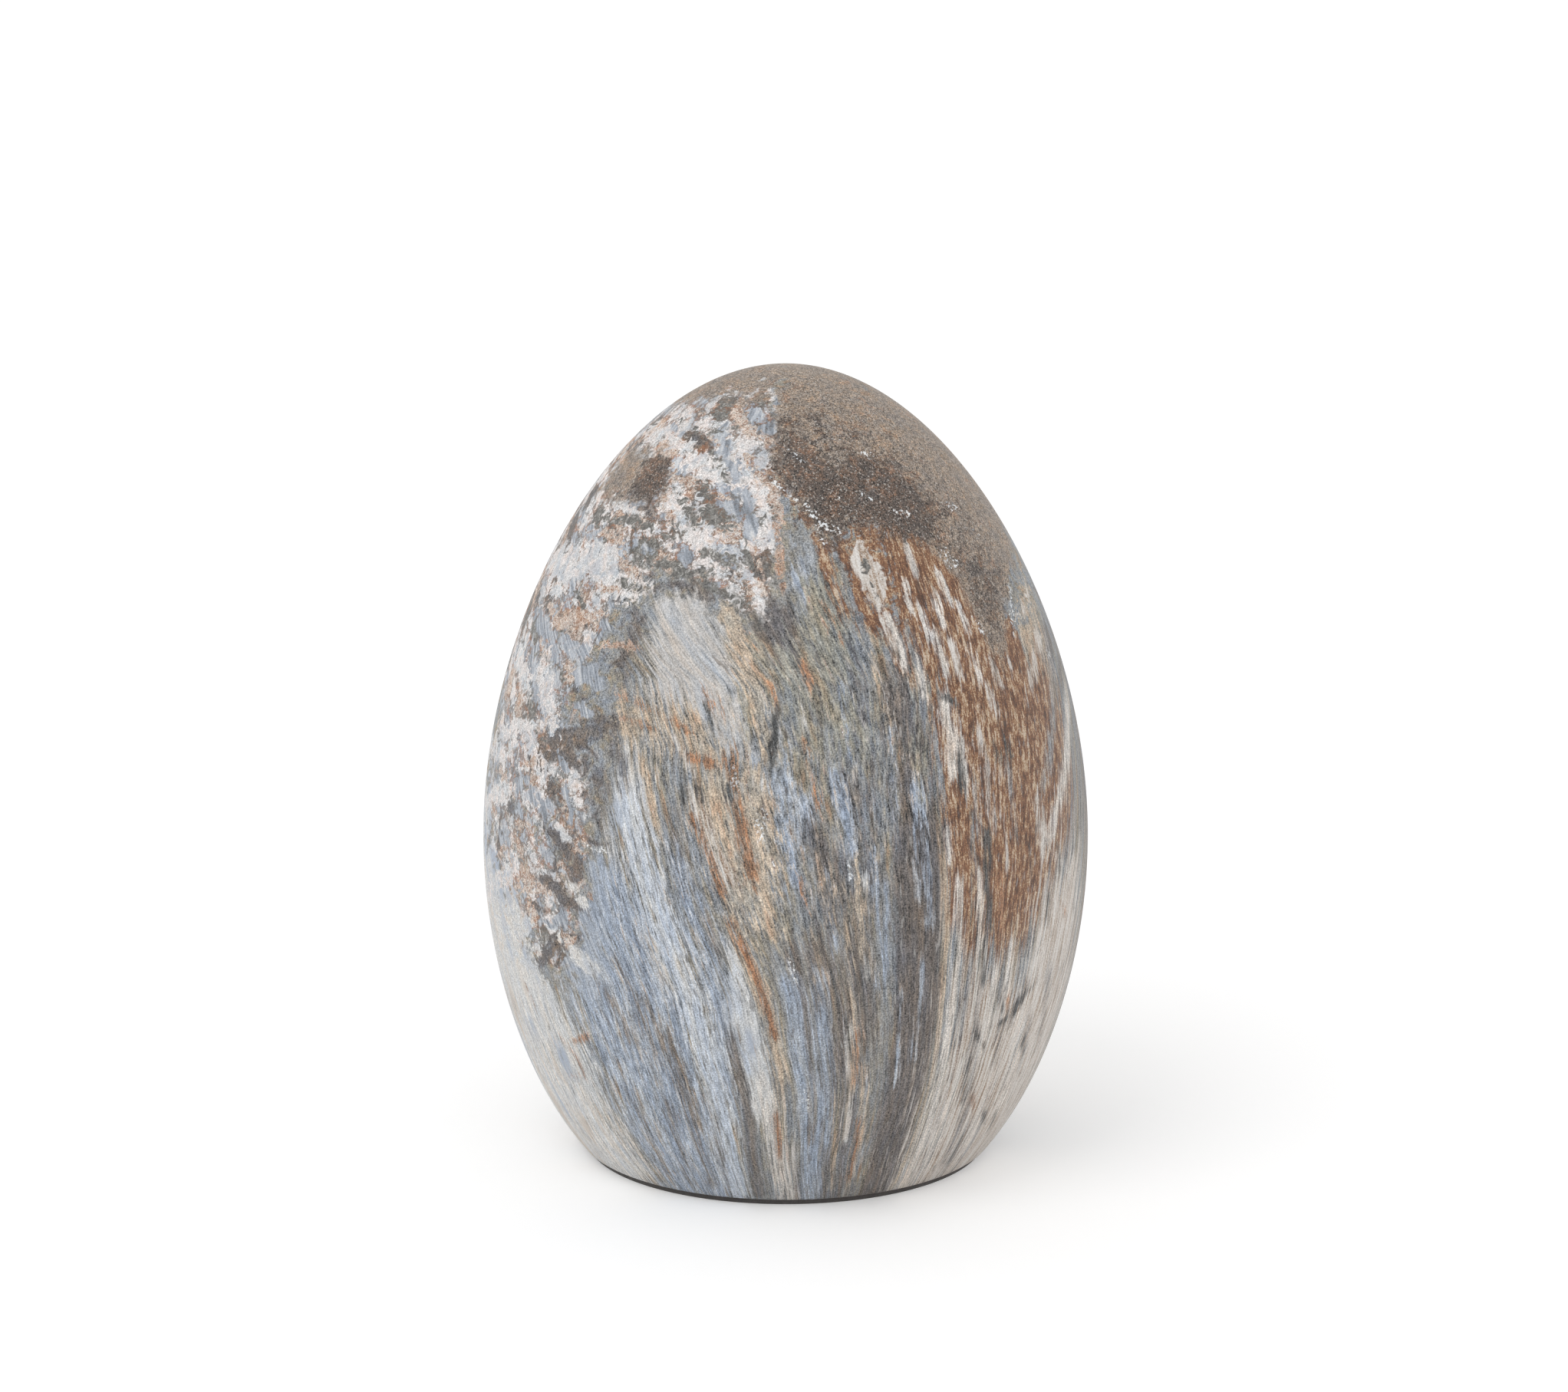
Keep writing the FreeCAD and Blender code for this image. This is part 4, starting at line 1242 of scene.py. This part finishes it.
    def hatched_shade():
        """Blue-grey stone with fine pale hatching."""
        hatch = lifted(0.5, (0.2, streaks(0.42, 5.0, 24, 2.0)), (0.06, dash), (0.03, grit))
        return ramp(tree, hatch, (
            (0.1, (108, 112, 118)), (0.35, (150, 157, 167)), (0.55, (180, 186, 195)), (0.75, (206, 209, 213)),
            (0.95, (226, 226, 226)),
        ))

    def breccia_shade():
        """Clasts of five kinds of stone, with dark and rusty edges."""
        wave = node(tree, "ShaderNodeTexNoise", {
            "Vector": place, "Scale": 0.8, "Detail": 4.0, "Roughness": 0.65,
        }).outputs["Color"]
        half_along = mixed(tree, 0.5, grain, place, "VECTOR")
        bent = node(tree, "ShaderNodeVectorMath", {
            0: wave, 1: [clast_bend] * 3, 2: half_along,
        }, operation="MULTIPLY_ADD").outputs[0]
        split = node(tree, "ShaderNodeVectorMath", {
            0: bent, 1: [1 / size for size in clast_sizes],
        }, operation="MULTIPLY").outputs[0]
        clast = node(tree, "ShaderNodeTexVoronoi", {"Vector": split, "Scale": 1.0}).outputs["Color"]
        crack = node(tree, "ShaderNodeTexVoronoi", {
            "Vector": split, "Scale": 1.0,
        }, feature="DISTANCE_TO_EDGE").outputs["Distance"]
        draw = node(tree, "ShaderNodeSeparateColor", {0: clast}).outputs
        picked = lifted(draw["Red"], (0.03, thread))
        shade = quartz_shade()
        for share, other in (
            (0.42, hatched_shade()),
            (0.62, veined_shade()),
            (0.8, plain_shade("taupe")),
            (0.89, crumbed_shade()),
        ):
            shade = mixed(tree, rising(picked, share, share + 0.04), shade, other)
        shade = scaled(shade, lifted(0.93, (0.16, draw["Green"])))
        edge = rising(lifted(crack, (0.05, dash), (0.04, thread)), 0.13, 0.0)
        edge_colour = ramp(tree, hue, ((0.3, (104, 98, 92)), (0.55, (122, 96, 78)), (0.8, (164, 112, 80))))
        return mixed(tree, times(edge, 0.8), shade, edge_colour)

    def speckled_shade(kind):
        """Brown stone with rust clouds and pale specks."""
        contrast, *stops = shades[kind]
        gain = lifted(0.99, (contrast, relief), (0.1, grit), (0.08, rust_cloud))
        stained = times(rising(rust_cloud, 0.5, 1.5), 0.5)
        shade = mixed(tree, stained, ramp(tree, hue, stops), colour(146, 108, 82))
        return mixed(tree, specks, scaled(shade, gain), colour(206, 200, 193))

    own_shades = {
        "bark": bark_shade, "cream": cream_shade, "breccia": breccia_shade, "mist": mist_shade,
        "quartz": quartz_shade,
    }
    mottled_shades = {"rust": veined_shade, "slate": crumbed_shade, "sky": hatched_shade}

    def shade_of(kind):
        if kind in own_shades:
            return own_shades[kind]()
        if kind in mottled_shades:
            return mixed(tree, mottled, plain_shade(kind), mottled_shades[kind]())
        if kind in speckled_kinds:
            return speckled_shade(kind)
        return plain_shade(kind)

    rust_cloud = blots(3.0, 31, 4.0, 0.7, 1.0)
    speck = spread(place, (0.32, 0.32, 0.32), 27, 1.0)
    specks = times(rising(speck, 0.8, 1.7), 0.7)
    crystal = spread(place, (0.5, 0.5, 0.5), 28, 2.0)

    # Where the stone is mottled its kinds have crisper edges, with less of a fringe
    crispness = lifted(1.0, (1.3, mottled))
    dash_share = lifted(0.1, (-0.075, mottled))
    edge_share = lifted(0.3, (-0.1, mottled))
    surface_colour = plain_shade("ground")
    for kind in kinds:
        edge = broad_edge if kind in broad_kinds else fine_edge
        field = lifted(held(kind), (edge_share, edge), (dash_share, dash))
        steepness = 1.0 if kind in speckled_kinds else crispness
        past_half = times(calc(tree, "SUBTRACT", field, half_present), steepness)
        present = rising(past_half, -edge_softness, edge_softness)
        if kind == "frost":
            present = times(present, rising(crystal, 0.1, 0.7))
        surface_colour = mixed(tree, present, surface_colour, shade_of(kind))

    # Thin curved veins between the clasts
    vein = calc(tree, "ABSOLUTE", total((1.0, blots(2.3, 29, 4.0, 0.6, 1.2)), (0.06, dash)))
    veined = times(rising(vein, 0.13, 0.03), rising(held("breccia"), 0.3, 0.7))
    veined = times(times(veined, mottled), total((0.5, rising(thread, -0.9, 0.6))))
    vein_colour = ramp(tree, hue, ((0.35, (92, 88, 84)), (0.6, (122, 92, 72)), (0.85, (158, 108, 78))))
    surface_colour = mixed(tree, veined, surface_colour, vein_colour)

    # Short dark and pale dashes
    busy = calc(tree, "MAXIMUM", rising(held("crown"), 0.3, 0.7), mottled)
    plain = lifted(1.0, (-0.8, busy))
    for low, high, stray_colour, share in (
        (-0.9, -1.7, (92, 84, 78), 0.55),
        (1.1, 1.9, (208, 206, 203), 0.4),
    ):
        present = times(times(rising(strays, low, high), share), plain)
        surface_colour = mixed(tree, present, surface_colour, colour(*stray_colour))

    # Fine grain over everything, and slow changes of brightness
    brightness = lifted(1.02, (0.06, grit), (0.02, cloud))
    surface_colour = scaled(surface_colour, brightness)

    # Bare clay inside and under the base
    clay = ramp(tree, lifted(0.5, (0.1, grit)), ((0.2, (196, 190, 182)), (0.8, (214, 209, 202))))
    surface_colour = mixed(tree, held("decorated"), clay, surface_colour)

    bump = node(tree, "ShaderNodeBump", {
        "Height": total((0.6, dash), (0.4, grit)), "Strength": 0.12, "Distance": 0.03 * mm,
    }).outputs[0]
    roughness = lifted(0.52, (0.02, thread), (0.02, grit))
    shader = node(tree, "ShaderNodeBsdfPrincipled", {
        "Base Color": surface_colour, "Roughness": roughness, "Normal": bump,
    }).outputs[0]
    node(tree, "ShaderNodeOutputMaterial", {"Surface": shader})


# Pad and stopper

# The pad is a real piece, and its dark grey felt is also painted shade: it gives the dark contact line under
# the front of the base.
def felt_with_contact_shade():
    material = bpy.data.materials.new("pressed felt")
    tree = emptied(material)
    place = node(tree, "ShaderNodeTexCoord").outputs["Object"]
    fibres = node(tree, "ShaderNodeTexNoise", {
        "Vector": place, "Scale": 2600.0, "Detail": 4.0, "Distortion": 1.5,
    }).outputs["Fac"]
    fluff = node(tree, "ShaderNodeTexNoise", {"Vector": place, "Scale": 420.0, "Detail": 2.0}).outputs["Fac"]
    both = calc(tree, "MULTIPLY_ADD", fluff, 0.4, calc(tree, "MULTIPLY", fibres, 0.6))
    shade = ramp(tree, both, ((0.3, (82, 79, 77)), (0.55, (98, 94, 92)), (0.75, (116, 112, 109))))
    bump = node(tree, "ShaderNodeBump", {"Height": both, "Strength": 0.6, "Distance": 0.15 * mm}).outputs[0]
    shader = node(tree, "ShaderNodeBsdfPrincipled", {
        "Base Color": shade, "Roughness": 0.95, "Sheen Weight": 0.3, "Sheen Roughness": 0.5, "Normal": bump,
    }).outputs[0]
    node(tree, "ShaderNodeOutputMaterial", {"Surface": shader})
    return material


def rubber():
    material = bpy.data.materials.new("moulded rubber")
    tree = emptied(material)
    place = node(tree, "ShaderNodeTexCoord").outputs["Object"]
    bloom = node(tree, "ShaderNodeTexNoise", {"Vector": place, "Scale": 180.0, "Detail": 4.0}).outputs["Fac"]
    grain = node(tree, "ShaderNodeTexNoise", {"Vector": place, "Scale": 3200.0, "Detail": 2.0}).outputs["Fac"]
    shade = ramp(tree, bloom, ((0.3, (38, 38, 39)), (0.7, (56, 56, 57))))
    bump = node(tree, "ShaderNodeBump", {"Height": grain, "Strength": 0.3, "Distance": 0.05 * mm}).outputs[0]
    roughness = calc(tree, "MULTIPLY_ADD", bloom, 0.2, 0.5)
    shader = node(tree, "ShaderNodeBsdfPrincipled", {
        "Base Color": shade, "Roughness": roughness, "Normal": bump,
    }).outputs[0]
    node(tree, "ShaderNodeOutputMaterial", {"Surface": shader})
    return material


def dress(name, material):
    """Gives a carried-over piece its finish."""
    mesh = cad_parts[name].data
    mesh.materials.clear()
    mesh.materials.append(material)


# Floor and light

floor_size = 6.0
floor_white = 0.86
floor_glow = 0.30
room_strength = 0.97

# The lamp, with its place and its side in metres and its power in watts
lamp_place = (-0.85, -0.95, 2.0)
lamp_power = 9.0
lamp_size = 1.2
egg_middle = Vector((0, 0, crown_level * mm / 2))


def rays_seen(tree):
    """1 for what the camera sees directly, or in gloss or glass."""
    path = node(tree, "ShaderNodeLightPath").outputs
    direct = calc(tree, "ADD", path["Is Camera Ray"], path["Is Glossy Ray"])
    return calc(tree, "MINIMUM", calc(tree, "ADD", direct, path["Is Transmission Ray"]), 1.0)


def white_floor():
    bpy.ops.mesh.primitive_plane_add(size=floor_size)
    plane = bpy.context.object
    plane.name = "floor"
    material = bpy.data.materials.new("white floor")
    tree = emptied(material)
    white = (floor_white, floor_white, floor_white, 1.0)
    paint = node(tree, "ShaderNodeBsdfDiffuse", {"Color": white}).outputs[0]
    glow = node(tree, "ShaderNodeEmission", {
        "Strength": calc(tree, "MULTIPLY", rays_seen(tree), floor_glow),
    }).outputs[0]
    both = node(tree, "ShaderNodeAddShader", {0: paint, 1: glow}).outputs[0]
    node(tree, "ShaderNodeOutputMaterial", {"Surface": both})
    plane.data.materials.append(material)


def white_world():
    world = bpy.data.worlds.new("white room")
    bpy.context.scene.world = world
    tree = emptied(world)
    strength = mixed(tree, rays_seen(tree), room_strength, 1.0, "FLOAT")
    light = node(tree, "ShaderNodeBackground", {"Strength": strength}).outputs[0]
    node(tree, "ShaderNodeOutputWorld", {"Surface": light})


def soft_lamp():
    """A square lamp that looks at the egg's middle."""
    lamp = bpy.data.lights.new("key light", "AREA")
    lamp.energy = lamp_power
    lamp.size = lamp_size
    holder = bpy.data.objects.new("key light", lamp)
    bpy.context.scene.collection.objects.link(holder)
    holder.location = lamp_place
    holder.rotation_euler = (egg_middle - holder.location).to_track_quat("-Z", "Y").to_euler()


# Camera: the middle of the egg's height lands on this pixel of the photograph's frame. The
# camera's distance is in metres.
frame_pixels = (2044, 1815)
middle_pixel = (1024.05, 989.0)
camera_elevation = 15.83
camera_distance = 1.2
focal_pixels = 9480.7
sensor_width = 36.0


def place_camera():
    camera = bpy.data.cameras.new("camera")
    camera.sensor_width = sensor_width
    camera.lens = focal_pixels / frame_pixels[0] * sensor_width
    holder = bpy.data.objects.new("camera", camera)
    bpy.context.scene.collection.objects.link(holder)
    elevation = math.radians(camera_elevation)
    back = Vector((0, -math.cos(elevation), math.sin(elevation)))
    right = Vector((1, 0, 0))
    up = back.cross(right)
    metres_per_pixel = camera_distance / focal_pixels
    aim = egg_middle
    aim = aim - right * (middle_pixel[0] - frame_pixels[0] / 2) * metres_per_pixel
    aim = aim + up * (middle_pixel[1] - frame_pixels[1] / 2) * metres_per_pixel
    holder.location = egg_middle + back * camera_distance
    holder.rotation_euler = (aim - holder.location).to_track_quat("-Z", "Y").to_euler()
    bpy.context.scene.camera = holder


# The egg and its pieces
stone = bpy.data.materials.new("petrified wood print")
stone_print(stone)
shell = egg_shell(stone)
lay_stone(shell.data)
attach(shell, "root")
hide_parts("egg_shell")
dress("base_pad", felt_with_contact_shade())
dress("drain_stopper", rubber())

# The room
white_floor()
white_world()
soft_lamp()
place_camera()
bpy.context.scene.view_settings.view_transform = "Standard"
